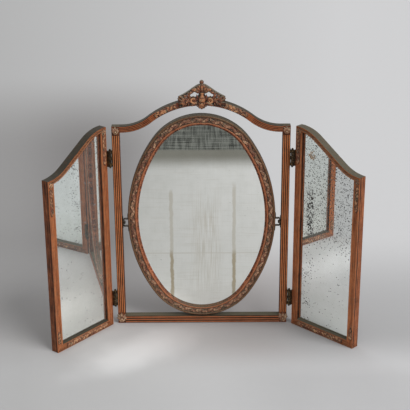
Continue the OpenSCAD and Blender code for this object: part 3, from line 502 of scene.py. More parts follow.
def bronzed(shader, pits, colours, **sockets):
    """The bronzing group over fine bumps. colours are the deep, body, rubbed and settled ones."""
    deep, body, rubbed, settled = colours
    finish = use(PATINA, Deep=deep, Body=body, Rubbed=rubbed, Settled=settled, **sockets)
    feed(shader, {"Base Color": finish["Color"], "Roughness": finish["Roughness"], "Metallic": finish["Metallic"],
                  "Normal": bump(pits, 0.0003)})


RIB_RATE = 1900.0  # one rib to 3.3 mm of thickness
STRETCH = {"up": (900.0, 900.0, 22.0), "across": (22.0, 900.0, 900.0), "all": (420.0, 420.0, 420.0)}


def wood(name, place, grain, low, high, colours, bed=None, side_level=0.4, mottle=0.5, streaks=0.45, inner=None,
         front_dust=1.0):
    """Bronzed moulding. The relief is how far a point stands forward, from low to high in millimetres, on faces that
    look to the front; on the sides, and where bed says that the face is plain, it is one level. inner gives a part of
    the face its own colours and lumps, and front_dust is the share of dust that stays on the front."""
    material, shader, point = new_material(name, place)
    axes = add("SeparateXYZ", {0: point})
    deep, body, rubbed, settled = (rgb(*colour) for colour in colours)
    forward = axes["Y"] * -1.0
    at_front = forward.ease((low - 2.0) * MM, (low - 0.5) * MM)
    if bed:
        at_front = at_front * (1.0 - bed(axes))
    lines = use(GRAIN, Vector=point, Stretch=STRETCH[grain])["Lines"]
    # the deep colour in the grooves is partly the dark ground and partly painted shade
    relief = at_front * (forward.ease(low * MM, high * MM) - side_level) + side_level
    streaked = relief + lines.ease(0.34, 0.66, -0.5 * streaks, 0.5 * streaks)
    ribs = calc("SINE", axes["Y"] * RIB_RATE) * 0.12
    film = mix((lines + ribs).ease(0.25, 0.8), shaded(settled, 0.55), shaded(settled, 1.3))
    dusty = use(DUST, Vector=point, Amount=1.0)["Mask"]
    if front_dust < 1.0:
        dusty = dusty * forward.ease((low - 1.6) * MM, (low - 0.9) * MM, 1.0, front_dust)
    if inner:
        share, inner_body, inner_rubbed = inner(axes)
        body, rubbed = mix(share, body, inner_body), mix(share, rubbed, inner_rubbed)
        streaked = peak(streaked, share * noise(point, 300.0, 2.0).ease(0.36, 0.64, 0.12, 0.78))
    bronzed(shader, lines, (deep, body, rubbed, film), Vector=point, Relief=streaked, Dust=dusty, Mottle=mottle,
            Variety=0.3)
    feed(shader, {"Specular IOR Level": 0.2})
    return material


def carving(name, colours, dust=0.8, mottle=0.9):
    """Gilded carving. The relief comes from the mesh."""
    material, shader, point = new_material(name)
    relief = add("Attribute", {}, shader.id_data, attribute_name="relief", attribute_type="GEOMETRY")["Fac"]
    # low relief takes the deep colour: partly the dark ground between the leaves, partly painted shade
    bronzed(shader, noise(point, 900.0, 4.0, 0.7), [rgb(*colour) for colour in colours], Vector=point,
            Relief=calc("POWER", relief, 1.5), Dust=use(DUST, Vector=point, Amount=dust)["Mask"], Mottle=mottle,
            Variety=1.0)
    return material


def metal(name, base, worn, roughness):
    """Dark aged metal with brighter rubbed patches."""
    material, shader, point = new_material(name)
    patches = noise(point, 210.0, 5.0, 0.6).ease(0.4, 0.7)
    feed(shader, {"Base Color": mix(patches, base, worn), "Metallic": 0.85,
                  "Roughness": patches.ease(0.0, 1.0, roughness + 0.12, roughness - 0.08),
                  "Normal": bump(noise(point, 700.0, 4.0), 0.0002)})
    return material


def board_wood(name):
    """Thin brown board, grained upwards."""
    material, shader, point = new_material(name)
    lines = use(GRAIN, Vector=point, Stretch=STRETCH["up"])["Lines"]
    feed(shader, {"Base Color": mix(lines, rgb(70, 48, 32), rgb(124, 92, 62)), "Normal": bump(lines, 0.0003),
                  "Roughness": 0.75})
    return material


def mirror_plate(name, place, wear):
    """Silvered glass. wear gives the amount of lost silver, the tint of what is left, how milky it is, its black blots
    and its brown rust. On the oval the tint also carries painted reflections."""
    material, shader, point = new_material(name, place)
    amount, tint, milk, blots, rust = wear(point, add("SeparateXYZ", {0: point}))
    lost = use(FOXING, Vector=point, Amount=amount)
    black = peak(lost["Specks"], blots)
    gone = peak(black, rust)
    silver = mix(milk, mix(lost["Haze"] * 0.2, tint, rgb(206, 208, 198)), rgb(206, 211, 210))
    rough = peak(gone, milk * (milk * milk)) * 0.30 + 0.012
    feed(shader, {"Base Color": mix(black, mix(rust, silver, rgb(170, 128, 76)), rgb(38, 35, 31)),
                  "Metallic": 1.0 - peak(gone * 0.9, milk * 0.7), "Roughness": rough + lost["Haze"] * 0.015})
    return material


def oval_wear_and_reflections(point, axes):
    """Nearly whole silver, with two upright brown streaks that are painted reflections of a paper's edge, a faint
    level line and a faint woven patch between.
    """
    x, z = axes["X"], axes["Z"]
    wavy = x + (noise(point, 60.0) - 0.5) * 0.007
    left = near(wavy, -0.0700, 0.0056, 0.4) * z.fall(0.325, 0.34)
    right = near(wavy, 0.0748, 0.0056, 0.4) * z.fall(0.33, 0.36)
    # painted reflections of a paper's edge: two upright brown streaks on the silver
    edge_reflection = peak(left, right) * z.ease(0.17, 0.19, 0.95, 0.40)
    level = near(z, 0.178, 0.0022) * 0.25
    threads = noise(times(point, (620.0, 1.0, 14.0)), 1.0).ease(0.4, 0.7)
    rows = noise(times(point, (14.0, 1.0, 330.0)), 1.0).ease(0.5, 0.75)
    patch = near(x, 0.011, 0.045) * near(z, 0.20, 0.16)
    worn = peak(edge_reflection, level, threads * (patch * 0.4 + 0.05) + rows * 0.12)
    drift = noise(point, 9.0, 2.0) * 0.03 - 0.028
    return drift, mix(worn, rgb(253, 254, 249), rgb(192, 176, 142)), worn * 0.12, 0.0, 0.0


def left_wear(point, axes):
    """Greenish silver with a dull foot and a few specks near the hinge stile."""
    foot = axes["Z"].fall(0.05, 0.30)
    edge = calc("ABSOLUTE", axes["X"]).ease(0.008, 0.03, 0.14, 0.0)
    drift = noise(point, 12.0) * 0.02 + edge
    return drift, mix(foot, rgb(251, 255, 253), rgb(243, 244, 238)), foot * 0.10 + 0.10, 0.0, 0.0


def right_wear(point, axes):
    """Most of the silver is lost above the middle: many specks, a black streak beside the hinge stile, a brown ring
    near the top, and a milky bloom just below the middle."""
    x, z = axes["X"], axes["Z"]
    high = z.ease(0.20, 0.29, 0.02, 0.78)
    drift = noise(point, 17.0, 4.0, 0.6).ease(0.32, 0.66, 0.5, 1.12)
    streak = near(x, 0.046, 0.015) * near(z, 0.290, 0.066, 0.6)
    blots = streak * noise(point, 240.0, 3.0, 0.6).ease(0.50, 0.54)
    hinge_side = near(x, 0.04, 0.022) * noise(point, 40.0).ease(0.45, 0.6, 0.04, 0.5)
    bloom = near(x, 0.11, 0.10) * near(z, 0.20, 0.085)
    tint = mix(z.fall(0.04, 0.16), rgb(252, 255, 254), rgb(240, 244, 240))
    uneven = distance(x - 0.047, z - 0.427) + (noise(point, 130.0) - 0.5) * 0.022
    ring = near(uneven, 0.0052, 0.0042) * noise(point, 330.0, 2.0).ease(0.40, 0.52)
    return high * drift + (streak * 0.5 + hinge_side), tint, bloom * 0.16 + 0.05, blots, ring * 0.9


def stile_blocks(axes):
    """The plain blocks at the foot and the head of a stile."""
    foot, head = FOOT_BLOCK_H, FRAME_H - HEAD_BLOCK_H
    return peak(axes["Z"].fall((foot - 0.5) * MM, (foot + 0.5) * MM),
                axes["Z"].ease((head - 0.5) * MM, (head + 0.5) * MM))


def crown_bed(axes):
    """The plain bed under the leaf sprays and the crest."""
    return calc("ABSOLUTE", axes["X"]).fall(0.0985, 0.1005)


def oval_inside(axes):
    """The part of the oval moulding between the carved band and the glass: the distance from an ellipse round the oval,
    taken as (1 - f) / |slope of f| with f² = (x / a)² + (z / b)², is over half the moulding's width."""
    a, b = OVAL_A * MM, OVAL_B * MM
    x, z = axes["X"] / a, (axes["Z"] - OVAL_Z * MM) / b
    f = distance(x, z)
    away = (1.0 - f) * f / distance(x / a, z / b)
    return away.ease(0.009, 0.013), rgb(126, 70, 47), rgb(188, 118, 82)


# Colours in this order: deep, body, rubbed, settled. The deep colour in the hollows is partly the dark ground and
# partly painted shade
DARK, BROWN, WING_DARK = (38, 20, 13), (124, 70, 43), (38, 24, 17)
finishes = {
    "stile": wood("reeded stile bronze", "stand", "up", 9.25, 9.97, (DARK, BROWN, (208, 130, 82), (84, 80, 64)),
                  stile_blocks, front_dust=0.3),
    "bottom_rail": wood("bottom rail bronze", "stand", "across", 9.2, 9.97,
                        ((40, 22, 15), BROWN, (180, 108, 70), (90, 86, 68)), front_dust=0.15),
    "top_rail": wood("top rail bronze", "stand", "all", 9.5, 9.99,
                     ((50, 27, 18), (122, 70, 46), (172, 100, 60), (68, 66, 54)), crown_bed, side_level=0.42,
                     streaks=0.2, front_dust=0.15),
    "oval": wood("oval moulding bronze", "stand", "all", 4.0, 10.9,
                 ((50, 36, 27), (86, 63, 47), (122, 90, 66), (92, 84, 68)), side_level=0.3, mottle=1.1,
                 inner=oval_inside),
    "aged_brass": metal("dark aged brass", rgb(52, 44, 36), rgb(120, 98, 66), 0.45),
    "strap": metal("dark strap metal", rgb(58, 52, 48), rgb(104, 92, 78), 0.42),
    "board": board_wood("thin backing board"),
    "oval_glass": mirror_plate("oval mirror plate", "stand", oval_wear_and_reflections),
    "left_glass": mirror_plate("left mirror plate", "left", left_wear),
    "right_glass": mirror_plate("right mirror plate", "right", right_wear),
    "crest": carving("gilded crest", (DARK, (112, 62, 38), (226, 156, 106), (112, 105, 86))),
    "band": carving("gilded oval band", ((70, 48, 35), (126, 84, 60), (216, 172, 136), (118, 108, 86)), dust=0.6),
    "spray": carving("gilded sprays", ((36, 20, 13), (96, 54, 35), (236, 168, 116), (104, 98, 80)), mottle=0.95),
    "corner": carving("gilded corners", ((50, 30, 20), (132, 88, 60), (238, 206, 170), (150, 142, 118)), mottle=0.8),
    "leaves": carving("gilded leaves", ((44, 26, 17), (118, 74, 49), (224, 170, 126), (128, 120, 98))),
}
for side, film, level in (("left", (58, 55, 45), 0.45), ("right", (96, 92, 78), 0.64)):
    for part, grain, body, rubbed in (("stile", "up", BROWN, (190, 118, 76)),
                                      ("rail", "across", (108, 64, 41), (170, 106, 68))):
        finishes[f"{side}_{part}"] = wood(f"{side} wing {part} bronze", side, grain, 5.6, 9.3,
                                          (WING_DARK, body, rubbed, film), streaks=0.72, side_level=level)


def finish_for(node):
    """The finish of a CAD node, by the first of these words in its name."""
    side = node.split("_")[0]
    wing = side + "_" if "_wing_" in node else ""
    for word, finish in (("_glass", side + "_glass"), ("_backboard", "board"), ("strap", "strap"), ("stud", "strap"),
                         ("hinge", "aged_brass"), ("plate", "aged_brass"), ("screws", "aged_brass"),
                         ("brads", "aged_brass"), ("stile", wing + "stile"), ("_wing_", wing + "rail"),
                         ("top_rail", "top_rail"), ("bottom_rail", "bottom_rail"), ("oval_frame", "oval")):
        if word in node:
            return finishes[finish]
    return finishes["leaves"]


for name, solid in nodes.items():
    solid.data.materials.clear()
    solid.data.materials.append(finish_for(name))


# ---- oval band

def arc(cx, cz, radius, start, sweep, count):
    """Points of an arc, without its last one."""
    turn = start + sweep * np.arange(count) / count
    return np.stack((cx + radius * np.cos(turn), cz + radius * np.sin(turn)), -1)


def oval_ring(inset):
    """Four tangent arcs at the inset from the outer edge of the oval."""
    end_turn = math.pi - 2 * SIDE_TURN
    return np.vstack((
        arc(-SIDE_C, 0, SIDE_R - inset, -SIDE_TURN, 2 * SIDE_TURN, SIDE_STEPS),
        arc(0, END_C, OVAL_END_R - inset, SIDE_TURN, end_turn, END_STEPS),
        arc(SIDE_C, 0, SIDE_R - inset, math.pi - SIDE_TURN, 2 * SIDE_TURN, SIDE_STEPS),
        arc(0, -END_C, OVAL_END_R - inset, math.pi + SIDE_TURN, end_turn, END_STEPS)))


def leaf_field(a, b, leaves, berries=()):
    """Height of overlapping carved leaves over the plane (a, b), the highest one winning. A leaf is (a, b of the root,
    angle, length, width, height, bend), with p along it and q across it; a berry is (a, b, radius, height). Only the
    rows of the grid that a leaf can reach are worked out."""
    top = np.zeros_like(a)
    first, last = a.min(1), a.max(1)
    for root_a, root_b, angle, length, width, height, bend in leaves:
        rows = np.nonzero((last > root_a - length * 1.3) & (first < root_a + length * 1.3))[0]
        if not len(rows):
            continue
        part = slice(rows[0], rows[-1] + 1)
        turn = math.radians(angle)
        da, db = a[part] - root_a, b[part] - root_b
        p = (da * math.cos(turn) + db * math.sin(turn)) / length
        q = -da * math.sin(turn) + db * math.cos(turn) - bend * length * p ** 2
        inside = (p > 0) & (p < 1)
        p = np.clip(p, 0.001, 0.999)
        half = width / 2 * np.sin(np.pi * p ** 0.75) ** 0.7 * (1 + 0.13 * np.cos(6 * np.pi * p))
        edge = np.clip(1 - (q / half) ** 2, 0, 1)
        rise = height * (0.35 + 0.65 * np.sin(np.pi * p)) * np.sqrt(edge) * (1 - 0.4 * np.exp(-(5 * q / width) ** 2))
        top[part] = np.maximum(top[part], np.where(inside & (edge > 0), rise, 0))
    for mid_a, mid_b, radius, height in berries:
        share = 1 - ((a - mid_a) ** 2 + (b - mid_b) ** 2) / radius ** 2
        top = np.maximum(top, height * np.sqrt(np.clip(share, 0, 1)))
    return top


def carved_board(a, low, high, lanes, leaves, base, back, full, berries=()):
    """A board between the edge lines low and high over the stations a. Its face stands at base, raised by overlapping
    leaves and lowered at the rim; full is the height that counts as the top of the relief."""
    share = np.linspace(0, 1, lanes)
    b = low[:, None] + (high - low)[:, None] * share
    a = np.broadcast_to(a[:, None], b.shape)
    ground = 0.3 + 0.12 * np.sin(a * 2.9) * np.sin(b * 2.3)
    rim = np.clip(np.minimum(share, 1 - share) * (high - low)[:, None] / 0.6, 0.1, 1)
    rise = np.maximum(leaf_field(a, b, leaves, berries), ground) * rim
    face = np.stack((a, b, base + rise), -1)
    under = np.stack((a[:, [-1, 0]], b[:, [-1, 0]], np.full((len(a), 2), back)), -1)
    level = np.concatenate((np.clip(rise / full, 0, 1), np.full((len(a), 2), 0.1)), 1)
    return np.concatenate((face, under), 1), level


def sprig(length, width, step, height, seed):
    """Leaves along a stem on the axis b = 0: pairs that lean out, overlap and differ a little, with a middle leaf at
    each step and one at the tip."""
    chance = np.random.default_rng(seed)
    made = []
    for start in np.arange(-step * 0.3, length - step, step):
        taper = 1.0 - 0.25 * max(0.0, start) / length
        for lean in (-1, 1):
            made.append((start + chance.uniform(-0.9, 0.9), lean * width * 0.05, lean * chance.uniform(20, 36),
                         step * chance.uniform(1.6, 2.0) * taper, width * chance.uniform(0.44, 0.58) * taper,
                         height * chance.uniform(0.8, 1.1), lean * chance.uniform(-0.22, 0.05)))
        made.append((start + step * 0.4, chance.uniform(-0.5, 0.5), chance.uniform(-12, 12), step * 1.35,
                     width * 0.32 * taper, height * chance.uniform(1.0, 1.2), chance.uniform(-0.1, 0.1)))
    made.append((length - step * 1.35, 0.0, 0.0, step * 1.3, width * 0.5, height, 0.0))
    return made


def band_leaves(total, width):
    """Broad leaves that roll alternately to the two edges of the band, with smaller ones between. Sizes and angles
    differ a little from leaf to leaf."""
    chance = np.random.default_rng(11)
    made = []
    count = round(total / 13.6)
    for i in range(count):
        start = total * i / count
        lean = 1 if i % 2 else -1
        low = width / 2 - lean * width * 0.32
        jog = chance.uniform(-1.2, 1.2, 6)
        grow = chance.uniform(0.86, 1.12, 6)
        made += [
            (start + jog[0], low, lean * (30 + 5 * jog[1]), 17.0 * grow[0], 7.2 * grow[1], 2.6 * grow[2], lean * -0.10),
            (start + 4.0 + jog[1], low + lean, lean * (66 + 5 * jog[2]), 9.6 * grow[1], 5.2 * grow[2], 2.7 * grow[3],
             lean * -0.25),
            (start + 8.6 + jog[2], low + lean * 2.4, lean * (40 + 6 * jog[3]), 9.8 * grow[2], 4.6 * grow[3],
             3.0 * grow[4], lean * 0.2),
            (start + 2.0 + jog[3], low - lean * 0.4, lean * (102 + 6 * jog[4]), 7.2, 4.0 * grow[4], 2.3 * grow[5],
             lean * 0.25),
            (start + 8.0 + jog[4], low - lean * 1.0, lean * -8, 9.5 * grow[4], 4.0, 2.3 * grow[0], lean * 0.25),
            (start + 12.0 + jog[5], low + lean * 6.2, lean * 8, 7.5, 4.2, 2.9 * grow[1], lean * 0.3),
        ]
    return made


def make_oval_band():
    """The relief is worked out on a strip as long as the band, with its end leaves repeated beyond both ends, and the
    strip is laid round the four arcs."""
    width = BAND_OUT - BAND_IN
    middle = oval_ring(OVAL_MOULD_W - (BAND_IN + BAND_OUT) / 2)
    steps = np.linalg.norm(np.roll(middle, -1, 0) - middle, axis=1)
    total = float(steps.sum())
    way = np.concatenate(([0.0], np.cumsum(steps)[:-1]))
    a, b = np.meshgrid(way, np.linspace(0, width, BAND_LANES), indexing="ij")
    leaves = band_leaves(total, width)
    around = [(row[0] + shift, *row[1:]) for shift in (-total, 0.0, total) for row in leaves]
    height = leaf_field(a, b, around)
    ground = 0.35 + 0.12 * np.sin(a * 5.1) * np.sin(b * 4.3)
    height = np.maximum(height, ground) * np.clip(np.minimum(b, width - b) / 0.4, 0.15, 1)
    rings, relief = [], []
    for k in range(BAND_LANES):
        inset = OVAL_MOULD_W - BAND_IN - width * k / (BAND_LANES - 1)
        rings.append(np.column_stack((oval_ring(inset), BAND_BED + height[:, k])))
        relief.append(np.clip(height[:, k] / 2.4, 0, 1))
    for k in (BAND_LANES - 1, 0):
        rings.append(np.column_stack((rings[k][:, :2], np.full(len(way), BAND_BED - 0.1))))
        relief.append(np.zeros(len(way)))
    rings = np.stack(rings, 1) + np.array([0, OVAL_Z, 0])
    part = skin(on_stand(rings), np.stack(relief, 1), wrap=True)
    make_piece("carved_oval_band", [part], "oval_mirror", finishes["band"], ["oval_carved_band"])


# ---- crest

def crown_fall(x):
    """How far the top of the crown curve has fallen at x."""
    radius = CROWN_R + ARCH_RAIL_H
    return np.sqrt(radius ** 2 - np.asarray(x, float) ** 2) - radius


def smooth_path(points, count):
    """A curve through points: cubic blends of neighbouring pairs (Catmull-Rom)."""
    points = np.array(points, float)
    ends = np.vstack((2 * points[0] - points[1], points, 2 * points[-1] - points[-2]))
    t = np.linspace(0, len(points) - 1.0001, count)
    i = t.astype(int)
    f = (t - i)[:, None]
    a, b, c, d = (ends[i + n] for n in range(4))
    return 0.5 * (2 * b + (c - a) * f + (2 * a - 5 * b + 4 * c - d) * f ** 2 + (3 * b - a - 3 * c + d) * f ** 3)


def crest_board():
    """The board over the rail, from its lower edge up to the piercings, covered with leaves that follow the rail."""
    x = np.linspace(-CREST_HALF, CREST_HALF, 176)
    low = crown_fall(x) - 13.3
    high = np.interp(np.abs(x), [0, 6, 9, 14, 25, 28, 31, 33.5, 36, 39, 44, CREST_HALF],
                     [15, 13, 7, 4.6, 4.4, 6.5, 8.5, 6.0, 1.2, 3.0, 4.5, -3.5])
    chance = np.random.default_rng(5)
    leaves = []
    for sign in (-1, 1):
        for row, drop, size in ((0, 10.4, 1.0), (1, 6.2, 1.1), (2, 1.0, 0.95), (3, -3.0, 0.8)):
            for start in np.arange(7.0 + 2.2 * (row % 2), 49, 6.6):
                z = float(crown_fall(start)) - drop
                lean = (1 if (row + int(start)) % 2 else -1) * chance.uniform(12, 46)
                fall = -math.degrees(math.asin(start / (CROWN_R + ARCH_RAIL_H)))
                angle = fall + lean if sign > 0 else 180 - fall - lean
                leaves.append((sign * start, z, angle, 11.5 * size * chance.uniform(0.85, 1.15),
                               5.4 * size * chance.uniform(0.9, 1.2), 2.6 * chance.uniform(0.75, 1.15),
                               chance.uniform(-0.2, 0.2)))
    berries = [(sign * at, float(crown_fall(at)) - drop, 1.9, 3.4)
               for sign in (-1, 1) for at, drop in ((12.0, 9.0), (29.5, -3.2), (43.0, 9.0), (30.0, 8.6))]
    return carved_board(x, low, high, 38, leaves, GROUND, CREST_BACK, 2.8, berries)


def crest_half(seed):
    """One side of the crest, from the middle to the tip of its side leaf. Heights count from the top of the crown."""
    chance = np.random.default_rng(seed)
    bar = smooth_path([(1, 33.0), (8, 31.2), (14, 27.4), (20, 23.4), (30, 15.9), (42, 8.4), (53.6, 2.2)], 44)
    slab = round_section(3.0, -7.4, 7.6, 28)
    slab[:, 0] = 3.0 * np.clip(slab[:, 0] / 2.3, -1, 1)
    parts = [strip(bar, slab, 1 - 0.34 * np.linspace(0, 1, len(bar)) ** 2, 0.22)]
    # scalloped leaves along the face of the bar
    last = len(bar) - 1
    for share in np.linspace(0.16, 0.97, 9):
        k = int(share * last)
        at, way = bar[k], bar[min(last, k + 2)] - bar[max(0, k - 2)]
        angle = math.degrees(math.atan2(way[1], way[0]))
        over = angle - 26 - 10 * chance.uniform(-1, 1)
        parts.append(leaf((at[0] - 3.0, at[1] + 0.3), over, 9.6 * chance.uniform(0.9, 1.15), 5.8, 3.2, 7.3, bend=0.12,
                          stations=12))
        under = angle + 14 + 8 * chance.uniform(-1, 1)
        parts.append(leaf((at[0] - 1.5, at[1] - 0.4), under, 7.4, 3.8, 2.8, 7.2, bend=-0.1, lobes=2, stations=11))
    parts += [
        # post beside the small piercing
        strip([(31.0, 4.5), (30.6, 10.5), (29.8, 17.0)], round_section(2.0, -6.2, 7.8, 14)),
        leaf((31.4, 2.0), 97, 15.5, 6.0, 3.6, 7.6, bend=0.1, lobes=4),
        # scroll with a rolled eye beside the vase, and leaves round it
        scroll(18.8, -2.0, 7.4, 2.6, -150, 430, 2.7, 9.9),
        ball(19.6, -1.8, 10.2, 1.5),
        leaf((13.0, -9.5), 64, 15, 6.2, 3.6, 9.6, bend=0.35),
        leaf((9.5, -11.5), 150, 9, 5.0, 3.0, 9.4, bend=-0.3),
        leaf((10, -11.6), -4, 19, 6.4, 3.4, 9.4, bend=-0.18),
        leaf((25.6, -1.5), 74, 13, 6.6, 4.0, 9.2, bend=0.12),
        leaf((28.0, -3.0), 116, 12, 5.6, 3.6, 9.0, bend=-0.25),
        leaf((26.0, -6.5), 20, 13, 5.8, 3.6, 9.4, bend=0.2),
        leaf((10.5, 1.0), 100, 12, 5.2, 3.6, 8.6, bend=-0.25),
        leaf((14.0, 1.0), 62, 9.0, 4.6, 3.0, 7.6, bend=-0.2, lobes=2),
        leaf((22.5, 1.5), 102, 8.0, 4.4, 3.0, 7.6, bend=0.2, lobes=2),
        leaf((36.0, 0.0), 64, 9.5, 5.0, 3.2, 7.6, bend=-0.2),
    ]
    # leaves that carry the rail's line out to the side
    side_root = (34.0, float(crown_fall(34.0)) - 3.0)
    for angle, length, width, bend in ((70, 14, 6.6, -0.10), (42, 20, 7.6, 0.05), (16, 22.0, 7.4, 0.10),
                                       (-10, 21, 7.4, 0.05), (-34, 15.5, 6.8, -0.05), (-72, 10, 6.2, 0.1),
                                       (104, 12, 5.8, 0.15), (160, 10, 5.6, -0.2)):
        parts.append(leaf(side_root, angle + 5 * chance.uniform(-1, 1), length, width, 4.3 - abs(angle) * 0.008, 9.0,
                          bend=bend, lobes=4))
    parts.append(ball(34.5, side_root[1] + 0.5, 12.0, 2.3))
    parts += [
        # leaves that stand over the upper edge of the bar
        leaf((12.0, 27.2), -10, 13.5, 7.2, 4.4, 6.8, bend=-0.22, curl=1.0),
        leaf((43.5, 5.0), 8, 10.5, 5.6, 3.8, 7.0, bend=0.2, curl=1.0),
        # rolled end of the bar
        ball(53.8, 1.8, 6.0, 2.0, deep=1.2),
        # bud under the raking bar
        ball(25.4, 17.0, 8.2, 2.9),
        leaf((30, 12.5), 138, 10, 5.0, 2.8, 7.4),
        # curled shoulder leaves that lie over the bar
        leaf((6.5, 19.0), 36, 18.0, 8.8, 4.6, 7.4, bend=-0.22, curl=1.0, lobes=4),
        leaf((7.0, 24.0), 18, 16.0, 6.8, 4.2, 7.0, bend=-0.20, curl=1.0, lobes=4),
        leaf((5.0, 16.5), 10, 13.0, 5.8, 3.8, 7.2, bend=0.22),
        ball(20.0, 24.6, 8.4, 2.9),
        # leaves beside the tall middle one
        leaf((2.0, 17.5), 62, 19.5, 6.8, 4.4, 8.0, bend=-0.12, lobes=4),
        leaf((2.6, 15.0), 42, 17.0, 6.4, 4.2, 8.0, bend=-0.15, lobes=4),
        leaf((1.6, 26.0), 66, 12.5, 5.4, 3.6, 7.6, bend=-0.25),
        leaf((1.0, 30.0), 50, 9.0, 4.4, 3.0, 7.4, bend=-0.3, lobes=2),
    ]
    return parts


def make_crest():
    """The board, the middle and the two sides, drawn in a little to stay inside the CAD and set 2 mm to the right, as
    in the photograph."""
    middle = [
        crest_board(),
        leaf((0.4, 14.0), 90, 25.5, 7.8, 5.4, 8.0, lobes=5),
        # vase, and the stem behind it
        turned(0.6, GROUND, [(-9.0, 3.6), (-7.6, 5.8), (-5.0, 7.8), (-1.5, 9.4), (2.0, 9.2), (5.5, 7.2),
                             (8.5, 5.2), (11.0, 4.0), (13.2, 4.6), (15.2, 5.8), (16.4, 5.2), (17.4, 3.2)],
               deep=0.50, points=26),
        turned(0.0, -1.0, [(6.5, 6.5), (14, 7.6), (20, 8.2), (26, 6.6), (33.0, 4.2)], deep=0.8),
    ]
    # knob at the top
    rings, relief = turned(0.0, 0.4, [(27.0, 3.2), (33.0, 6.4), (36.4, 5.6), (37.4, 4.0), (38.2, 4.1), (39.6, 4.9),
                                      (41.6, 5.0), (43.6, 4.4), (45.2, 3.0), (46.2, 1.4)])
    middle.append((rings, 0.72 * relief))
    # gadroons on the swelling of the vase
    for tilt in (-46, -23, 0, 23, 46):
        turn = math.radians(tilt)
        rings, relief = leaf((0.6 + 7.4 * math.sin(turn), -7.6), 90 + tilt * 0.12, 13.5, 4.2, 2.0,
                             GROUND + 4.6 * math.cos(turn), lobes=0)
        middle.append((rings, np.clip(0.25 + relief, 0, 1)))
    # lobed pendant below the rail
    middle += fan((0.0, -10.5), -90, 132, 5, 14.0, 6.6, 5.2, 7.6, lobes=0)
    middle += fan((0.0, -9.0), -90, 100, 4, 10.5, 4.6, 4.6, 9.6, lobes=0)
    middle.append(ball(0.0, -10.6, 11.2, 3.0))
    # round lobes along its lower edge
    for x, z, radius in ((-9.4, -15.6, 2.8), (-5.0, -19.4, 3.1), (0.0, -21.2, 3.4), (5.0, -19.4, 3.1),
                         (9.4, -15.6, 2.8)):
        rings, relief = ball(x, z, 8.4, radius, deep=1.2)
        middle.append((rings, 0.75 * relief))
    middle.append(turned(0.0, 4.2, [(-19.5, 3.0), (-16.5, 6.4), (-13.2, 8.0)], deep=0.6))
    parts = middle + [part for side in (-1, 1) for part in mirrored(crest_half(3 + side), side)]
    lifted = [(rings * np.array([0.96, 0.91, 1]) + np.array([2.0, CROWN_TOP, 0]), relief) for rings, relief in parts]
    make_carving("carved_crest", lifted, "crest", ["crest_carving"])


# ---- sprays and small leaves

def make_sprays():
    """A run of leaves on the curved bed each side of the crest. (a, b) is laid off along and across the crown curve."""
    mid_r = CROWN_R + ARCH_RAIL_H / 2
    first, last, reeds_from = (math.asin(x / mid_r) for x in (SPRAY_FROM, SPRAY_TO, REEDS_FROM))
    length = mid_r * (last - first)
    for name, sign, seed in (("left", -1, 21), ("right", 1, 22)):
        a = np.linspace(0, length, 84)
        half = np.interp(a, [0, length - 12, length], [SPRAY_HALF, SPRAY_HALF, 5.2])
        rings, relief = carved_board(a, -half, half, 25, sprig(length + 3.0, 2 * SPRAY_HALF, 8.2, 3.9, seed), GROUND,
                                     GROUND_BACK, 3.2)
        turn = first + rings[..., 0] / mid_r
        radius = mid_r + rings[..., 1]
        bent = np.stack((sign * radius * np.sin(turn), CROWN_Z + radius * np.cos(turn), rings[..., 2]), -1)
        parts = [(bent, relief)]
        inside = last - 0.035
        tip = (mid_r * math.sin(inside), CROWN_Z + mid_r * math.cos(inside))
        parts += mirrored([leaf(tip, -math.degrees(last) + lean, 9.5, 5.4, 2.2, 9.4, lobes=2, stations=11)
                           for lean in (-22, 0, 22)], sign)
        reeds = []
        turns = np.linspace(reeds_from, ARCH_TURN + 0.004, 16)
        for lane in range(4):
            radius = CROWN_R + 0.25 + (lane + 0.5) * (ARCH_RAIL_H - 0.5) / 4
            line = np.stack((radius * np.sin(turns), CROWN_Z + radius * np.cos(turns)), -1)
            reeds.append(strip(line, round_section(1.66, 8.0, 9.97, 14)))
        make_piece(f"{name}_reed_ends", closed(mirrored(reeds, sign), on_stand), "stand",
                   finishes["top_rail"])
        make_carving(f"carved_{name}_spray", parts, "spray", [f"{name}_leaf_spray"])


def palmette(x, z, height, seed):
    """A small fan of leaves with a berry at its root, and short leaves below the root."""
    chance = np.random.default_rng(seed)
    base = GROUND + 0.1
    root = (x, z - height * 0.16)
    parts = []
    for turn, share in ((-72, 0.50), (72, 0.50), (-40, 0.60), (40, 0.60), (0, 0.66)):
        angle = 90 + turn + 5 * chance.uniform(-1, 1)
        parts.append(leaf(root, angle, height * share * chance.uniform(0.95, 1.06), 7.4,
                          3.0 * chance.uniform(0.9, 1.1), base, bend=0.1 * chance.uniform(-1, 1)))
    for turn in (-62, 62, -24, 24):
        parts.append(leaf(root, turn - 90, height * 0.40, 6.0, 2.6, base, lobes=2, stations=11))
    parts.append(ball(*root, base + 2.2, 2.0))
    return parts


def make_corner_leaves():
    """A small palmette on each block of the stiles."""
    mid = STILE_X + STILE_W / 2
    for level, low, height in (("upper", FRAME_H - HEAD_BLOCK_H, HEAD_BLOCK_H), ("lower", 0.0, FOOT_BLOCK_H)):
        for name, sign in (("left", -1), ("right", 1)):
            parts = palmette(mid, low + height / 2 + 1.0, height - 2.0, 41 + sign)
            make_carving(f"carved_{level}_{name}_corner", mirrored(parts, sign), "corner",
                         [f"{level}_{name}_corner_leaf"])


def leaf_run(start, angle, length, width, seed):
    """A carved strip from a start point (s, z) in the direction of the angle."""
    a = np.linspace(0, length, round(length / 0.75))
    half = np.interp(a, [0, 5, length - 9, length], [0.34, 0.5, 0.5, 0.18]) * width
    rings, relief = carved_board(a, -half, half, 17, sprig(length, width, 8.4, 3.0, seed), GROUND, GROUND_BACK, 2.5)
    turn = math.radians(angle)
    s = start[0] + rings[..., 0] * math.cos(turn) - rings[..., 1] * math.sin(turn)
    z = start[1] + rings[..., 0] * math.sin(turn) + rings[..., 1] * math.cos(turn)
    return [(np.stack((s, z, rings[..., 2]), -1), relief)]


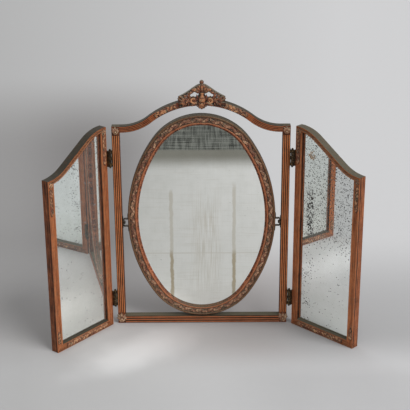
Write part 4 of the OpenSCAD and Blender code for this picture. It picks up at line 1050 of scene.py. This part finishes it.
def make_wing_leaves():
    """Four runs of small leaves on the flat beds of each wing, and palmettes at its two top corners."""
    bed_w, bed_mid = 10.4, 6.95
    for side, seed in (("left", 60), ("right", 70)):
        parts = leaf_run((bed_mid, WING_H - 20), -90, 69, bed_w, seed)
        parts += leaf_run((WING_W - bed_mid, WING_H - WING_DROP - 20), -90, 62, bed_w, seed + 1)
        parts += leaf_run((WING_W - bed_mid, 20), 90, 31, bed_w, seed + 2)
        parts += leaf_run((WING_W - 30, bed_mid + 1.6), 180, 132, bed_w + 4.6, seed + 3)
        make_carving(f"carved_{side}_wing_leaves", parts, "leaves", [f"{side}_wing_leaves"], side)
        parts = palmette(bed_mid + 0.6, WING_H - 11.5, 17.0, seed + 4)
        parts += palmette(WING_W - bed_mid - 0.6, WING_H - WING_DROP - 10.5, 14.0, seed + 5)
        make_carving(f"carved_{side}_wing_corners", parts, "leaves", side=side)


make_oval_band()
make_crest()
make_sprays()
make_corner_leaves()
make_wing_leaves()


# ---- studio

def make_floor():
    """A pale floor with painted light and shade: lighter to the right, the side the lamp shines from, a painted
    pool of light in front on the left that the oval mirror throws, painted shade along a band under the object and a
    soft painted shadow behind it on the left. In reflections only, it ends in a darker woven edge far in front, a
    painted reflection."""
    size = 9.0
    mesh = bpy.data.meshes.new("pale_floor")
    mesh.from_pydata([(-size, -size, 0), (size, -size, 0), (size, size, 0), (-size, size, 0)], [], [(0, 1, 2, 3)])
    floor = new_object("pale_floor", mesh)
    material, shader, point = new_material("pale studio paper")
    axes = add("SeparateXYZ", {0: point})
    x, y = axes["X"], axes["Y"]
    # tones run away from the camera: spread is x over the distance from the camera's foot
    camera_back, nearest = 2.3, 0.8
    spread = x / peak(y + camera_back, nearest)
    # painted light: the paper is lighter to the right, the side the lamp shines from
    painted_light_share = add("MapRange", {"Value": spread, "From Min": -0.19, "From Max": 0.13})[0]
    paper = mix(painted_light_share, rgb(180, 180, 180), rgb(210, 210, 211))
    # painted shadow: a soft dark area behind the object on the left, where its shadow falls
    behind = y.fall(1.3, 2.5) * y.ease(0.10, 0.55)
    shadow_leftward = spread.fall(-0.105, 0.045) * spread.ease(-0.20, -0.11, 0.6, 1.0)
    sweep = behind * shadow_leftward * 0.53
    # painted shade along a band under the object
    crease_shade = (y.fall(0.08, 0.55) * y.ease(-0.26, -0.06) * 0.27
              * x.ease(-0.30, 0.20, 0.35, 1.35) * x.ease(0.25, 0.42, 1.0, 0.74))
    # painted shade on the right of the floor, near and in front of the object
    corner = spread.ease(0.0, 0.12) * y.fall(-0.05, 0.15) * 0.13 * y.ease(-0.28, -0.20, 1.0, 0.4)
    # painted light: a bright pool that the oval mirror throws in front on the left, a tilted ellipse with an uneven
    # edge
    light_pool_at, light_pool_half, tilt = (-0.155, -0.160), (0.155, 0.100), -0.60
    light_pool_x = x - light_pool_at[0]
    reached = distance(light_pool_x / light_pool_half[0], (y - light_pool_at[1] + light_pool_x * tilt) / light_pool_half[1])
    patch = (reached + (noise(point, 11.0, 2.0) - 0.5) * 0.6).ease(0.15, 1.15, 0.36, 0.0)
    grain = (noise(point, 45.0, 5.0, 0.6) - 0.5) * 0.03
    shade = (1.0 - sweep + (patch + grain)) * (1.0 - crease_shade) * (1.0 - corner)
    # the painted shade and shadow are tinted a little warm
    dimmed = calc("MULTIPLY", crease_shade + sweep * 0.35, 4.0, clamp=True)
    shade_warmth = mix(dimmed * x.fall(0.12, 0.30), (1.0, 1.0, 1.0, 1.0), (1.0, 0.955, 0.940, 1.0))
    toned = times(scaled(paper, shade), shade_warmth)
    # what the mirrors see is a painted reflection: glossy rays get the paper with about a third of the painted light
    # and shade, the pool of light made brighter, a darker band far in front and a woven edge beyond it
    plain = scaled(mix(0.35, paper, toned), patch * 0.6 + 1.0)
    reflected_dusk = mix(y.ease(-1.28, -1.10), rgb(120, 119, 113), plain)
    warp = noise(times(point, (170.0, 6.0, 1.0)), 1.0)
    weft = noise(times(point, (7.0, 75.0, 1.0)), 1.0)
    reflected_cloth = mix((warp + weft).ease(0.7, 1.3), rgb(46, 48, 46), rgb(124, 126, 122))
    edge = y.fall(-1.345, -1.33) * near(x, 0.0, 1.6)
    seen = add("LightPath", {}, shader.id_data)["Is Glossy Ray"]
    feed(shader, {"Base Color": mix(seen, toned, mix(edge, reflected_dusk, reflected_cloth)), "Roughness": 0.9, "Specular IOR Level": 0.1})
    mesh.materials.append(material)


def make_lamp(name, azimuth, height, softness, strength):
    """Even, soft light from a compass angle, counted from the front towards the right, and a height, in degrees."""
    data = bpy.data.lights.new(name, "SUN")
    data.angle = math.radians(softness)
    data.energy = strength
    lamp = new_object(name, data)
    turn, tilt = math.radians(azimuth), math.radians(height)
    source = Vector((math.sin(turn) * math.cos(tilt), -math.cos(turn) * math.cos(tilt), math.sin(tilt)))
    lamp.location = source * 3.0  # in metres; a sun shines the same from anywhere
    lamp.rotation_mode = "QUATERNION"
    lamp.rotation_quaternion = (-source).to_track_quat("-Z", "Y")


def make_camera(place, lens, pitch, yaw, roll):
    """A camera at a place in metres, its lens in millimetres and its turns in degrees."""
    pitch, yaw, roll = (math.radians(angle) for angle in (pitch, yaw, roll))
    ahead = Vector((math.sin(yaw) * math.cos(pitch), math.cos(yaw) * math.cos(pitch), -math.sin(pitch)))
    level = Vector((math.cos(yaw), -math.sin(yaw), 0.0))
    raised = level.cross(ahead)
    right = level * math.cos(roll) + raised * math.sin(roll)
    up = raised * math.cos(roll) - level * math.sin(roll)
    data = bpy.data.cameras.new("photograph view")
    data.sensor_width = 36.0
    data.lens = lens
    camera = new_object("photograph view", data)
    turn = Matrix((right, up, -ahead)).transposed()
    camera.matrix_world = Matrix.Translation(place) @ turn.to_4x4()
    bpy.context.scene.camera = camera


make_floor()
make_lamp("window light", azimuth=51.0, height=43.0, softness=38.0, strength=2.1)
make_lamp("back fill", azimuth=205.0, height=30.0, softness=40.0, strength=0.35)
# these fit the photograph
make_camera(place=(0.0111, -2.3157, 1.1743), lens=94.735, pitch=20.764, yaw=-0.080, roll=-0.336)
scene = bpy.context.scene
scene.world = bpy.data.worlds.new("soft room")
scene.world.use_nodes = True
sky = scene.world.node_tree.nodes["Background"]
feed(sky, {"Color": (0.93, 0.935, 0.94, 1.0), "Strength": 0.5})
scene.view_settings.view_transform = "Standard"
